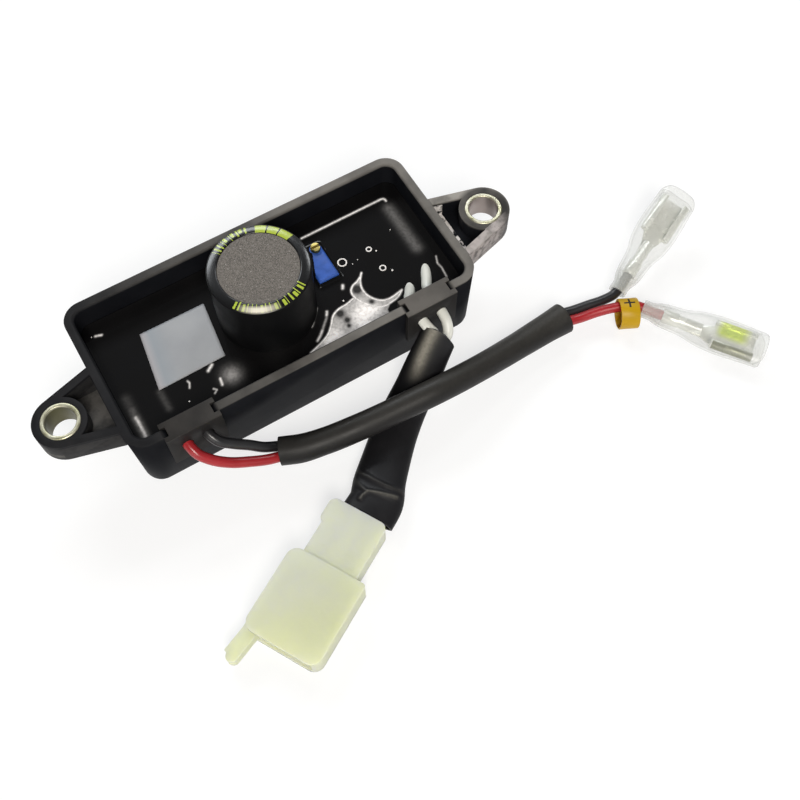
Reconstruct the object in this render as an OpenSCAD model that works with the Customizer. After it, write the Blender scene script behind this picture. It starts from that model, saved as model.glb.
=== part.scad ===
// Potted voltage regulator for a small generator: an open moulded tray filled with resin,
// two mounting ears with steel bushes, a standing capacitor, a multi-turn trimmer,
// two sleeved lead pairs, a two-way nylon connector and two insulated spade terminals.
// Millimetres, +Z up. The tray lies on z = 0 with its long side along X.

/* [Tray] */
// Length of the tray at the rim
tray_l = 81.6; // [78:0.1:90]
// Width of the tray at the rim
tray_w = 37.4; // [36:0.1:44]
// Height of the tray
tray_h = 21; // [19.5:0.1:26]
// Outer corner radius of the tray
corner_r = 4.5; // [3:0.1:6]
// Wall of the tray at the rim
wall = 2; // [1.6:0.1:2.6]
// Floor of the tray
floor_t = 2; // [1.2:0.1:2.6]
// Inset of the outer wall at the floor, for release from the mould
draft = 0.6; // [0.2:0.05:0.9]
// Chamfer round the inner edge of the rim
rim_chamfer = 0.4; // [0.2:0.05:0.7]
// Rounding of the outer bottom edge
foot_r = 2.2; // [0.6:0.1:2.3]

/* [Ears] */
// Distance between the two mounting holes
hole_pitch = 100; // [97:0.5:112]
// Distance of the hole row from the middle of the tray, toward the wires
hole_row = 4.9; // [2:0.1:6]
// Thickness of an ear
ear_t = 6; // [4.5:0.1:8]
// Radius of the round end of an ear
ear_r = 5.8; // [5.7:0.1:7.2]
// Half of the width of an ear where it meets the tray
ear_half = 8.5; // [7.5:0.1:9.5]
// Rim left round the pocket of an ear
ear_rim = 1.8; // [1.2:0.1:2.2]
// Floor left under the pocket of an ear
pocket_floor = 1.6; // [1:0.1:2.4]
// Wall of the ring that holds a bush
ring_wall = 1.3; // [1:0.1:1.6]

/* [Bushes] */
// Outer diameter of a bush
bush_od = 8.2; // [7.4:0.1:8.6]
// Bore of a bush
bush_id = 6.4; // [5.3:0.1:6.6]
// Step of a bush out of the ear at each end
bush_step = 0.2; // [0:0.05:0.6]

/* [Wire gates] */
// Distance of each gate from the middle of the tray
gate_x = 27.8; // [25:0.1:28.5]
// Width of the flanges of a gate
gate_w = 12.2; // [11.6:0.1:12.8]
// Width of the web of a gate, inside the slot
gate_web = 10; // [9:0.1:10.6]
// Thickness of a gate flange
gate_flange = 1.1; // [0.8:0.1:1.6]
// Height of a gate from the rim down
gate_h = 11; // [9.5:0.1:13]
// Clearance of a gate in its slot and beside the wall
gate_gap = 0.1; // [0.05:0.05:0.2]
// Lead-in cut at the top corners of a slot
gate_lead_in = 1.1; // [0.5:0.1:1.4]
// Wire holes of a gate: depth of their centres under the rim
gate_hole_drop = 5.2; // [4:0.1:6]
// Wire holes of a gate: distance apart
gate_hole_pitch = 4.6; // [4:0.1:5.4]
// Clearance round a wire in its hole
wire_gap = 0.1; // [0.05:0.05:0.2]

/* [Resin] */
// Level of the resin above the underside of the tray
resin_z = 14.8; // [14.4:0.1:15.6]

/* [Circuit board] */
// Thickness of the board
board_t = 1.6; // [1.2:0.1:2]
// Gap between the board and the tray walls
board_gap = 1.2; // [0.8:0.1:2]
// Corner radius of the board
board_r = 1.5; // [1:0.1:3]
// Height of the posts under the board
post_h = 2.4; // [1.6:0.1:2.8]
// Diameter of a post
post_d = 5; // [4:0.1:6]
// Distance of a post from the board edges
post_inset = 4; // [3.2:0.1:6]

/* [Capacitor] */
// Diameter of the can
can_d = 21; // [18:0.1:22]
// Height of the capacitor over the board
can_h = 25; // [22:0.5:30]
// Edge radius of the can
can_edge = 1.3; // [0.5:0.1:2]
// Thickness of the shrunk sleeve
skin_t = 0.25; // [0.15:0.05:0.4]
// Radius of the bare disc on top
disc_r = 8.45; // [6:0.05:8.6]
// Height of the rubber bung
bung_h = 1.4; // [1:0.1:2.5]
// Step of the bung inside the can radius
bung_step = 1; // [0.5:0.1:2]
// Place along the tray
can_x = -1.45; // [-3:0.05:0]
// Place across the tray
can_y = 0.5; // [-1:0.1:2]

/* [Trimmer] */
// Length of the trimmer body
trim_l = 9.5; // [8:0.1:10]
// Width of the trimmer body
trim_w = 4.8; // [4.4:0.1:5.2]
// Height of the trimmer body
trim_h = 10.3; // [9.5:0.1:11]
// Place of its middle along the tray
trim_x = 13.5; // [12.8:0.1:15]
// Place of its middle across the tray
trim_y = 4.4; // [2:0.1:6]
// Edge break of the trimmer body
trim_edge = 0.35; // [0.2:0.05:0.6]
// Diameter of the adjusting screw
screw_d = 2.2; // [1.8:0.1:2.4]
// Length of the adjusting screw inside the body
screw_in = 4; // [3:0.1:6]
// Height of the adjusting screw over the body
screw_up = 0.8; // [0.5:0.1:1.2]
// Distance of the screw centre from the body edges
screw_inset = 1.4; // [1.35:0.05:1.8]
// Width of the screwdriver slot
slot_w = 0.5; // [0.3:0.05:0.7]
// Depth of the screwdriver slot
slot_deep = 0.5; // [0.3:0.05:0.7]
// Running clearance round the screw
screw_gap = 0.05; // [0.03:0.01:0.08]

/* [Board parts] */
// Rectifier block length
rect_l = 8.4; // [7:0.1:10]
// Rectifier block width
rect_w = 6.4; // [5:0.1:7.5]
// Rectifier block height
rect_h = 3.2; // [2.5:0.1:4.5]
// Rectifier notch radius
notch_r = 0.8; // [0.5:0.1:1.2]
// Power transistor: width
power_w = 10; // [9:0.1:10.6]
// Power transistor: length of the moulded body
power_l = 9; // [8:0.1:10]
// Power transistor: height of the moulded body
power_h = 4.5; // [4:0.1:5]
// Power transistor: length of the bare tab
tab_l = 6.4; // [5:0.1:7]
// Power transistor: thickness of the tab
tab_t = 1.3; // [1:0.1:1.6]
// Power transistor: diameter of the tab hole
tab_hole_d = 3.6; // [3:0.1:4]
// Film capacitor length
film_l = 12; // [9:0.1:13]
// Film capacitor width
film_w = 5; // [4:0.1:6]
// Film capacitor corner radius
film_r = 0.6; // [0.3:0.1:1.2]
// Film capacitor height
film_h = 7.5; // [5:0.1:8]
// Resistor body diameter
res_d = 3; // [2:0.1:3.6]
// Resistor body length
res_l = 8; // [6:0.1:9]
// Diode body diameter
diode_d = 2.7; // [2:0.1:3.2]
// Diode body length
diode_l = 5.2; // [4:0.1:6]
// Wire diameter of the axial parts
leg_d = 0.8; // [0.6:0.1:1]
// Reach of a leg past the body end
leg_reach = 1.6; // [1.2:0.1:2]
// Small transistor diameter
small_d = 4.8; // [4:0.1:5.2]
// Small transistor: distance of the flat side from the middle
small_flat = 1.2; // [0.8:0.1:1.8]
// Small transistor height
small_h = 4.6; // [4:0.1:5.5]

/* [Label] */
// Length of the bare label
label_l = 15; // [10:0.5:16]
// Width of the bare label
label_w = 14.2; // [10:0.1:16]
// Thickness of the label
label_t = 0.15; // [0.1:0.05:0.3]
// Corner radius of the label
label_r = 0.4; // [0.2:0.1:2]
// Place of its middle along the tray
label_x = -21.3; // [-23:0.1:-21]
// Place of its middle across the tray
label_y = 1.8; // [0:0.1:3]
// Turn of the label
label_turn = -4; // [-5:0.5:4]

/* [Leads and sleeves] */
// Diameter of a lead
lead_d = 2.3; // [2:0.1:2.4]
// Outer diameter of the brush lead sleeve, where it is shrunk tight
brush_d = 5.8; // [5.8:0.1:6.6]
// Wall of the brush lead sleeve
brush_wall = 0.4; // [0.25:0.05:0.4]
// Distance between the two leads in the brush sleeve
brush_pitch = 2.42; // [2.4:0.01:2.5]
// Wall of the sense lead sleeve
sense_wall = 0.6; // [0.3:0.05:0.7]
// Gap between the sense sleeve and the connector
sleeve_stop = 0.3; // [0.1:0.1:0.6]

/* [Connector] */
// Heading of the connector, from its wire end to its mouth
conn_turn = 209.5; // [207:0.5:212]
// Width of the wire end
rear_w = 12.3; // [11:0.1:13.5]
// Length of the wire end
rear_l = 13; // [11:0.1:14]
// Height of the wire end
rear_h = 6.2; // [5.4:0.1:7]
// Corner radius of the wire end
rear_r = 1.6; // [0.6:0.1:2.4]
// Step of the side rib of the wire end
rib_t = 0.9; // [0.4:0.1:1.4]
// Length of the side rib of the wire end
rib_l = 6; // [4:0.1:8]
// Width of the mouth block
mouth_w = 17.2; // [15.5:0.1:19]
// Length of the mouth block
mouth_l = 19; // [17:0.1:21]
// Height of the mouth block
mouth_h = 7.4; // [7.2:0.1:9]
// Wall round the mouth
mouth_wall = 1.5; // [1.2:0.1:1.7]
// Depth of the mouth
mouth_deep = 16; // [14.5:0.1:16.5]
// Corner radius of the mouth block
mouth_r = 2.4; // [1:0.1:3]
// Corner radius of the mouth block at its back, away from the latch
back_r = 0.6; // [0.3:0.1:1.2]
// Width of the latch arm
latch_w = 3.2; // [2.4:0.1:3.4]
// Reach of the latch arm past the mouth
latch_l = 6.9; // [5:0.1:8]
// Height of the latch arm
latch_h = 3.4; // [2.6:0.1:4]
// Step of the latch hook
latch_hook = 0.7; // [0.4:0.1:1.4]
// Length of the slope on the latch hook
latch_slope = 1.5; // [1:0.1:2.5]
// Length of the latch root along the mouth
latch_root = 3.4; // [3:0.1:4]
// Distance between the two contacts
contact_pitch = 5.2; // [4.8:0.1:5.6]
// Width of a contact blade
blade_w = 2.8; // [2.4:0.1:2.8]
// Thickness of a contact blade
blade_t = 0.8; // [0.5:0.1:0.8]
// Lead-in cut at a blade tip, along the blade
blade_tip_l = 0.8; // [0.4:0.1:1.2]
// Lead-in cut at a blade tip, across the blade
blade_tip_w = 0.5; // [0.3:0.1:0.8]
// Room left between blade tips and the mouth
blade_back = 6.5; // [6:0.1:8]
// Diameter of a contact barrel
barrel_d = 3.2; // [3:0.1:3.4]
// Length of a contact barrel
barrel_l = 6; // [4:0.1:7]
// Depth of the barrels inside the wire end
barrel_in = 5; // [3:0.1:6]
// Clearance of a contact in its channel
contact_gap = 0.1; // [0.05:0.05:0.2]

/* [Spade terminals] */
// Width of the receptacle
spade_w = 7.4; // [7:0.1:7.8]
// Height of the rolled edges
spade_h = 2.4; // [2:0.1:2.6]
// Inward reach of the two rolled edges past their middles, together
roll_in = 0.8; // [0.4:0.1:1.2]
// Length of the receptacle
spade_l = 9.6; // [8:0.1:10]
// Sheet thickness
sheet_t = 0.4; // [0.3:0.05:0.5]
// Length of the neck
neck_l = 2.6; // [1.5:0.1:3]
// Width of the neck
neck_w = 3; // [2.5:0.1:4]
// Width of the strip under the wire crimp
strip_w = 1.8; // [1.2:0.1:2.2]
// Diameter of the wire crimp
crimp_d = 2.6; // [2.4:0.1:2.8]
// Length of the wire crimp
crimp_l = 6; // [4:0.1:6.2]
// Length of the insulation crimp
grip_l = 3.2; // [2:0.1:3.4]
// Clearance of the lead in the insulation crimp
grip_gap = 0.05; // [0.02:0.01:0.1]

/* [Boots and marker] */
// Length of a clear boot
boot_l = 28.6; // [27.2:0.1:31]
// Wall of a clear boot
boot_wall = 0.5; // [0.3:0.05:0.6]
// Clearance of the boot round the terminal
boot_gap = 0.15; // [0.1:0.05:0.3]
// Room beside the terminal in the flat of a boot
boot_room_x = 0.35; // [0.2:0.05:0.6]
// Room over the terminal in the flat of a boot
boot_room_y = 0.5; // [0.3:0.05:0.8]
// Widening of a boot along its neck
boot_spread = 1.4; // [0.4:0.1:1.8]
// Swell of the shoulder of a boot
boot_swell = 0.15; // [0:0.05:0.3]
// Length of the straight end of a boot neck
boot_end_l = 2; // [1:0.1:3]
// Pull-in of the boot mouth
boot_lip = 0.1; // [0:0.05:0.15]
// Length of the pull-in of the boot mouth
boot_lip_l = 3; // [2:0.1:4]
// Length of the neck of a boot
boot_neck_l = 10.6; // [10.2:0.1:11]
// Length of the taper of a boot
boot_taper_l = 4.2; // [3.8:0.1:4.6]
// Outer diameter of the neck end of a boot
boot_neck_d = 4.2; // [3.9:0.1:4.6]
// Distance from the boot neck end to the terminal
boot_in = 4.8; // [4.6:0.1:6.2]
// Outer diameter of the marker ring
marker_d = 7; // [6.6:0.1:7.6]
// Wall of the marker ring
marker_wall = 0.4; // [0.3:0.05:0.5]
// Length of the marker ring
marker_l = 4.3; // [3.6:0.1:5]

/* [Hidden] */
$fn = 48;
eps = 0.01;

// The gates stand out on one side only, so the tray sits off the middle by half of that
gate_out = gate_gap + gate_flange;
tray_y = gate_out / 2;
wall_out_y = tray_y - tray_w / 2;
wall_in_y = wall_out_y + wall;

in_l = tray_l - 2 * wall;
in_w = tray_w - 2 * wall;
in_r = corner_r - wall;

row_y = tray_y - hole_row;
ear_z = tray_h - ear_t;

board_z = floor_t + post_h;
top_z = board_z + board_t;
board_l = in_l - 2 * board_gap;
board_w = in_w - 2 * board_gap;
post_dx = board_l / 2 - post_inset;
post_dy = board_w / 2 - post_inset;

can_r = can_d / 2;
skin_r = can_r + skin_t;
can_top = top_z + can_h;
can_py = tray_y + can_y;

trim_py = tray_y + trim_y;
trim_top = top_z + trim_h;
screw_x = trim_x + trim_w / 2 - screw_inset;
screw_y = trim_py + trim_l / 2 - screw_inset;

gate_hole_z = tray_h - gate_hole_drop;
lead_r = lead_d / 2;

// Room for parts left of the capacitor, right of the trimmer and along the board edges
left_x = (can_x - skin_r - board_l / 2) / 2;
right_x = (trim_x + trim_w / 2 + board_l / 2) / 2;
far_y = tray_y + board_w / 2;
near_y = tray_y - board_w / 2;
part_gap = 1;

power_y = far_y - diode_d - 2 * part_gap - power_w / 2;
far_diode_y = far_y - part_gap - diode_d / 2;
near_diode_y = power_y - power_w / 2 - 2 * part_gap - diode_d / 2;
res_y = near_y + part_gap + res_d / 2;
rect_y = far_y - part_gap - rect_w / 2;
film_y = rect_y - rect_w / 2 - part_gap - film_w / 2;
small_y = film_y - film_w / 2 - part_gap - small_d / 2;

// Middle of the connector's wire end, and the heights of its parts
conn_x = -5.8;
conn_y = -46.9;
conn_z = mouth_h / 2;
conn_u = [cos(conn_turn), sin(conn_turn), 0];
conn_n = [-sin(conn_turn), cos(conn_turn), 0];
conn_p = [conn_x, conn_y, conn_z];
bore_d = barrel_d + 2 * contact_gap;

// Route of the brush sleeve, from the tray to the spade terminals
brush_route = [
    [-14, -26.7, 7.5], [-9.8, -28.6, 7.9], [-5.2, -29.8, 8.4], [2.6, -31, 9], [11, -31.8, 9.5],
    [22.2, -32.5, 9.9], [33, -31.6, 7.4], [44.5, -30.2, 4.8], [51.8, -29.5, 4], [57, -29.2, 3.8]
];
brush_flare = [0.2, 0.15, 0.05, 0, 0, 0, 0.05, 0.15, 0.4, 0.7];
brush_r = [for (v = brush_flare) brush_d / 2 + v];

// Leads outside the brush sleeve: from the resin through the gate, and on to the terminals
red_start = [
    [-30.1, -10.6, 12.2], [-30.1, -12.7, 13.9], [-30.1, -14.5, 15.8], [-30.1, -19.7, 15.8],
    [-29.5, -21.6, 14.9], [-27.6, -23.4, 13], [-24.6, -25, 11], [-20.6, -26.4, 9.4], [-17, -27.4, 8.2]
];
red_end = [
    [60.5, -31, 3.5], [64.4, -31.8, 3.8], [68.2, -33, 4.2], [71.6, -34.4, 4.3], [73.6, -35.5, 3.8],
    [75.2, -37.5, 3.3]
];
black_start = [
    [-25.5, -10.6, 12.2], [-25.5, -12.7, 13.9], [-25.5, -14.5, 15.8], [-25.5, -19.7, 15.8],
    [-24.6, -21.2, 14.9], [-22.2, -22.4, 12.8], [-19.2, -23.5, 10.6], [-16.6, -24.7, 8.8]
];
black_end = [
    [60.5, -28.6, 3.5], [64.2, -29.2, 3.5], [67.6, -29.8, 3.5], [70.8, -29.9, 3.7]
];

// Route of the sense leads, from the tray to the connector, and the shift of their sleeve beside it
sense_route = [
    [26.6, -23.4, 13.4], [22.9, -25, 8.4], [18.8, -27.4, 4.8], [14, -30.4, 2.9], [9.5, -34, 2.8],
    [4.6, -38.4, 2.9], [0.6, -42, 3.3], conn_p - 4 * conn_u, conn_p - sleeve_stop * conn_u
];
sense_shift = [0, 0, 0, 0, 0, 0.1, 0.4, 0.8, 0.9];
sense_rx = [4.1, 4.4, 4.6, 4.8, 5, 5.3, 5.6, 5.8, 5.9];
sense_ry = [3, 2.9, 2.6, 2.4, 2.4, 2.4, 2.4, 2.4, 2.4];
sense_pitch = [3, 3, 3.2, 3.4, 3.6, 4, 4.6, contact_pitch, contact_pitch];
white_start = [
    [
        [34.6, -4.4, 12.4], [33.4, -7.2, 13.9], [32, -10, 15], [30.5, -12.8, 15.8],
        [30.1, -14.6, 15.8], [30.1, -19.7, 15.8], [29.9, -21.8, 15.2], [29.1, -23.6, 13.9]
    ],
    [
        [29, -7, 12.4], [28, -9.4, 13.8], [26.9, -11.4, 15], [25.7, -13.2, 15.8],
        [25.5, -14.6, 15.8], [25.5, -19.7, 15.8], [25.8, -21.2, 15.4], [26.4, -22.2, 14.2]
    ]
];

// Places and headings of the two boots, and the room in front of a terminal in its boot
red_boot_p = [74.3, -36.2, 3.3];
red_boot_turn = -54;
black_boot_p = [71.6, -29.8, 3.8];
black_boot_turn = 24.5;
black_boot_lift = 12;
black_boot_roll = 14;
terminal_room = 1;
red_boot_u = [cos(red_boot_turn), sin(red_boot_turn), 0];
black_boot_u = [
    cos(black_boot_lift) * cos(black_boot_turn),
    cos(black_boot_lift) * sin(black_boot_turn),
    sin(black_boot_lift)
];

// Place and heading of the marker ring on the red lead
lift_off = 0.05;
marker_p = [70.4, -35.6, marker_d / 2 + lift_off];
marker_turn = -26;

// Helpers for routes

function unit(v) = v / norm(v);
function heading(p, i) = unit(p[min(i + 1, len(p) - 1)] - p[max(i - 1, 0)]);
function side(t) = unit(cross([0, 0, 1], t));
function ring(c, t, rx, ry, n) = let (s = side(t), b = cross(t, s)) [
    for (k = [0 : n - 1]) c + rx * cos(360 * k / n) * s + ry * sin(360 * k / n) * b
];
function rings(p, rx, ry, n) = [for (i = [0 : len(p) - 1]) each ring(p[i], heading(p, i), rx[i], ry[i], n)];
function same(p, v) = [for (q = p) v];
function beside(p, d) = [for (i = [0 : len(p) - 1]) p[i] + d[i] * side(heading(p, i))];

// Faces of a skin of m rings with n points each, seen from outside
function skin_faces(m, n, o = 0, flip = false) = [
    for (i = [0 : m - 2]) for (k = [0 : n - 1])
        let (a = o + i * n + k, b = o + i * n + (k + 1) % n)
            flip ? [a, b, b + n, a + n] : [a, a + n, b + n, b]
];

// A solid round cord through the points p
module cord(p, r, n = 8) {
    m = len(p);
    polyhedron(
        points = rings(p, same(p, r), same(p, r), n),
        faces = concat(
            [[for (k = [0 : n - 1]) k]],
            skin_faces(m, n),
            [[for (k = [n - 1 : -1 : 0]) (m - 1) * n + k]]
        ),
        convexity = 8
    );
}

// A hollow sleeve through the points p, with half widths rx, half heights ry and a wall
module hollow(p, rx, ry, w, n = 12) {
    m = len(p);
    o = m * n;
    polyhedron(
        points = concat(rings(p, rx, ry, n), rings(p, [for (v = rx) v - w], [for (v = ry) v - w], n)),
        faces = concat(
            skin_faces(m, n),
            skin_faces(m, n, o, true),
            [for (k = [0 : n - 1]) [k, (k + 1) % n, o + (k + 1) % n, o + k]],
            [
                for (k = [0 : n - 1])
                    let (a = (m - 1) * n + k, b = (m - 1) * n + (k + 1) % n) [a, o + a, o + b, b]
            ]
        ),
        convexity = 8
    );
}

// Helpers for flat outlines

module rounded(l, w, r) {
    square([l - 2 * r, w], center = true);
    square([l, w - 2 * r], center = true);
    for (sx = [-1, 1]) for (sy = [-1, 1]) translate([sx * (l / 2 - r), sy * (w / 2 - r)]) circle(r);
}

// Point where the line from [x, y] touches a circle of radius r round [cx, 0]
function touch(x, y, cx, r) = let (
    d = norm([cx - x, y]),
    a = atan2(-y, cx - x),
    b = asin(r / d),
    l = sqrt(d * d - r * r)
) [x, y] + l * [cos(a + b), sin(a + b)];

// Outline of an ear, inset by d, from the tray wall to the round end
module ear_outline(d) {
    x0 = tray_l / 2 - draft - wall / 2;
    p = touch(tray_l / 2, ear_half - d, hole_pitch / 2, ear_r - d);
    translate([hole_pitch / 2, 0]) circle(ear_r - d);
    polygon([
        [x0, ear_half - d], [tray_l / 2, ear_half - d], p, [p[0], -p[1]], [tray_l / 2, d - ear_half],
        [x0, d - ear_half]
    ]);
}

// Tray, ears and slots

module ear() {
    translate([0, row_y, ear_z]) difference() {
        linear_extrude(ear_t) ear_outline(0);
        translate([0, 0, pocket_floor]) linear_extrude(ear_t) difference() {
            ear_outline(ear_rim);
            translate([hole_pitch / 2, 0]) circle(bush_od / 2 + ring_wall);
            translate([hole_pitch / 2, -ear_r]) square([2 * ear_r, 2 * ear_r]);
            translate([0, -ear_half]) square([tray_l / 2, 2 * ear_half]);
        }
        translate([hole_pitch / 2, 0, -eps]) cylinder(d = bush_od, h = ear_t + 2 * eps);
    }
}

// A thin slice of the outside of the tray, inset by d, with its upper face at z
module slice(d, z) {
    translate([0, tray_y, z - eps]) linear_extrude(eps)
        rounded(tray_l - 2 * d, tray_w - 2 * d, corner_r - d, $fn = 40);
}

// Outside of the tray: drafted walls over a rounded foot
module shell() {
    hull() {
        slice(0, tray_h);
        for (a = [0 : 22.5 : 90]) slice(draft + foot_r * (1 - sin(a)), eps + foot_r * (1 - cos(a)));
    }
}

module cavity(z0, z1) {
    translate([0, tray_y, z0]) linear_extrude(z1 - z0) rounded(in_l, in_w, in_r);
}

// Bevel that breaks the inner edge of the rim
module rim_cut() {
    translate([0, tray_y, tray_h - rim_chamfer])
        linear_extrude(rim_chamfer + eps, slices = 1, scale = [
            (in_l + 2 * rim_chamfer) / in_l,
            (in_w + 2 * rim_chamfer) / in_w
        ]) rounded(in_l, in_w, in_r);
}

// Slot in the near wall, with lead-in cuts at its top corners
module gate_slot(x) {
    half = gate_web / 2 + gate_gap;
    translate([x, wall_in_y - wall / 2, 0]) rotate([90, 0, 0])
        linear_extrude(3 * wall, center = true) polygon([
            [-half, tray_h - gate_h], [half, tray_h - gate_h], [half, tray_h - gate_lead_in],
            [half + gate_lead_in, tray_h + eps], [-half - gate_lead_in, tray_h + eps],
            [-half, tray_h - gate_lead_in]
        ]);
}

module posts() {
    for (sx = [-1, 1]) for (sy = [-1, 1])
        translate([sx * post_dx, tray_y + sy * post_dy, floor_t])
            cylinder(d = post_d, h = post_h);
}

module tray() {
    color([0.16, 0.16, 0.18]) {
        difference() {
            union() {
                shell();
                ear();
                mirror([1, 0, 0]) ear();
            }
            cavity(floor_t, tray_h + 1);
            rim_cut();
            gate_slot(gate_x);
            gate_slot(-gate_x);
        }
        posts();
    }
}

module bush(x) {
    color([0.78, 0.7, 0.36]) translate([x, row_y, ear_z - bush_step]) difference() {
        cylinder(d = bush_od, h = ear_t + 2 * bush_step);
        translate([0, 0, -eps]) cylinder(d = bush_id, h = ear_t + 2 * bush_step + 2 * eps);
    }
}

module bush_left() { bush(-hole_pitch / 2); }
module bush_right() { bush(hole_pitch / 2); }

// A slide-in gate: web in the slot, a flange on each face of the wall, two wire holes
module gate(x) {
    y0 = wall_out_y - gate_out;
    deep = wall + 2 * gate_out;
    color([0.19, 0.19, 0.21]) translate([x, 0, tray_h - gate_h + gate_gap]) difference() {
        union() {
            translate([-gate_web / 2, y0, 0]) cube([gate_web, deep, gate_h - gate_gap]);
            translate([-gate_w / 2, y0, 0]) cube([gate_w, gate_flange, gate_h - gate_gap]);
            translate([-gate_w / 2, y0 + deep - gate_flange, 0])
                cube([gate_w, gate_flange, gate_h - gate_gap]);
        }
        for (s = [-1, 1])
            translate([s * gate_hole_pitch / 2, y0 - 1, gate_h - gate_gap - gate_hole_drop])
                rotate([-90, 0, 0]) cylinder(d = lead_d + 2 * wire_gap, h = deep + 2);
    }
}

module gate_left() { gate(-gate_x); }
module gate_right() { gate(gate_x); }

// Resin and what it holds

module board_solid() {
    translate([0, tray_y, board_z]) linear_extrude(board_t) rounded(board_l, board_w, board_r);
}

module board() {
    color([0.45, 0.32, 0.16]) board_solid();
}

// Half profile of the can, grown by g
module can_profile(g, z0) {
    e = can_edge + g;
    r = can_r + g;
    translate([0, z0]) square([r, can_top + g - e - z0]);
    translate([0, z0]) square([r - e, can_top + g - z0]);
    translate([r - e, can_top + g - e]) intersection() {
        circle(e);
        square(e + 1);
    }
}

module can() {
    color([0.48, 0.47, 0.45]) translate([can_x, can_py, 0]) rotate_extrude()
        can_profile(0, top_z + bung_h);
}

module can_skin() {
    color([0.1, 0.1, 0.11]) translate([can_x, can_py, 0]) rotate_extrude() difference() {
        can_profile(skin_t, top_z + bung_h);
        can_profile(0, 0);
        square([disc_r, can_top + 1]);
    }
}

module bung_solid() {
    translate([can_x, can_py, top_z]) cylinder(r = can_r - bung_step, h = bung_h);
}

module can_bung() {
    color([0.2, 0.2, 0.2]) bung_solid();
}

module trimmer_block() {
    translate([trim_x, trim_py, top_z]) {
        linear_extrude(trim_h - trim_edge) square([trim_w, trim_l], center = true);
        translate([0, 0, trim_h - trim_edge])
            linear_extrude(trim_edge, slices = 1, scale = [
                (trim_w - 2 * trim_edge) / trim_w,
                (trim_l - 2 * trim_edge) / trim_l
            ]) square([trim_w, trim_l], center = true);
    }
}

module trimmer_body() {
    color([0.2, 0.37, 0.76]) difference() {
        trimmer_block();
        translate([screw_x, screw_y, trim_top - screw_in - screw_gap])
            cylinder(d = screw_d + 2 * screw_gap, h = screw_in + 1);
    }
}

module trimmer_screw() {
    color([0.76, 0.62, 0.3]) difference() {
        translate([screw_x, screw_y, trim_top - screw_in])
            cylinder(d = screw_d, h = screw_in + screw_up);
        translate([screw_x, screw_y, trim_top + screw_up - slot_deep / 2 + eps])
            cube([screw_d + 1, slot_w, slot_deep + 2 * eps], center = true);
    }
}

// Four-legged rectifier block with a notch that marks one end
module rectifier() {
    color([0.13, 0.13, 0.14]) translate([right_x, rect_y, top_z]) difference() {
        translate([-rect_l / 2, -rect_w / 2, 0]) cube([rect_l, rect_w, rect_h]);
        translate([rect_l / 2, 0, rect_h / 2]) cylinder(r = notch_r, h = rect_h);
    }
}

// Power transistor that lies flat on its tab
module power_transistor() {
    whole = power_l + tab_l;
    color([0.2, 0.2, 0.22]) translate([left_x - whole / 2, power_y - power_w / 2, top_z]) difference() {
        union() {
            cube([whole, power_w, tab_t]);
            cube([power_l, power_w, power_h]);
        }
        translate([power_l + tab_l / 2, power_w / 2, -eps])
            cylinder(d = tab_hole_d, h = tab_t + 2 * eps);
    }
}

module film_capacitor() {
    color([0.72, 0.24, 0.16]) translate([right_x, film_y, top_z]) linear_extrude(film_h)
        rounded(film_l, film_w, film_r);
}

// Small plastic transistor, round with one flat side
module small_transistor() {
    color([0.12, 0.12, 0.12]) translate([right_x, small_y, top_z]) linear_extrude(small_h)
        difference() {
            circle(d = small_d);
            translate([-small_d, -small_d - small_flat]) square([2 * small_d, small_d]);
        }
}

// Axial part: a body along X with two legs bent down to the board
module axial(x, y, d, l, tint) {
    leg_z = d / 2;
    color(tint) translate([x, y, top_z]) {
        translate([-l / 2, 0, leg_z]) rotate([0, 90, 0]) cylinder(d = d, h = l);
        for (s = [0, 180]) rotate([0, 0, s]) {
            translate([l / 2 - eps, 0, leg_z]) rotate([0, 90, 0])
                cylinder(d = leg_d, h = leg_reach + eps);
            translate([l / 2 + leg_reach, 0, 0]) cylinder(d = leg_d, h = leg_z);
            translate([l / 2 + leg_reach, 0, leg_z]) sphere(d = leg_d);
        }
    }
}

module resistor_left() { axial(left_x, res_y, res_d, res_l, [0.7, 0.6, 0.42]); }
module resistor_right() { axial(right_x, res_y, res_d, res_l, [0.7, 0.6, 0.42]); }
module diode_far() { axial(left_x, far_diode_y, diode_d, diode_l, [0.1, 0.1, 0.1]); }
module diode_near() { axial(left_x, near_diode_y, diode_d, diode_l, [0.1, 0.1, 0.1]); }

module resin() {
    color([0.04, 0.04, 0.05]) difference() {
        cavity(floor_t, resin_z);
        posts();
        board_solid();
        bung_solid();
        translate([can_x, can_py, top_z + bung_h]) cylinder(r = skin_r, h = resin_z);
        translate([trim_x - trim_w / 2, trim_py - trim_l / 2, top_z]) cube([trim_w, trim_l, resin_z]);
        rectifier();
        power_transistor();
        film_capacitor();
        small_transistor();
        resistor_left();
        resistor_right();
        diode_far();
        diode_near();
        for (s = [-1, 1])
            translate([s * gate_x - gate_w / 2 - gate_gap, wall_in_y - 1, tray_h - gate_h])
                cube([gate_w + 2 * gate_gap, 1 + gate_out + gate_gap, gate_h]);
    }
}

module label() {
    color([0.66, 0.67, 0.69]) translate([label_x, tray_y + label_y, resin_z]) rotate(label_turn)
        linear_extrude(label_t) rounded(label_l, label_w, label_r);
}

// Leads and sleeves

module red_lead() {
    color([0.8, 0.13, 0.15])
        cord(concat(red_start, beside(brush_route, same(brush_route, -brush_pitch / 2)), red_end,
            [for (d = [boot_in - terminal_room, boot_in + grip_l]) red_boot_p + d * red_boot_u]), lead_r);
}

module black_lead() {
    color([0.1, 0.1, 0.1])
        cord(concat(black_start, beside(brush_route, same(brush_route, brush_pitch / 2)), black_end,
            [for (d = [boot_end_l, boot_in - terminal_room, boot_in + grip_l])
                black_boot_p + d * black_boot_u]), lead_r);
}

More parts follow.
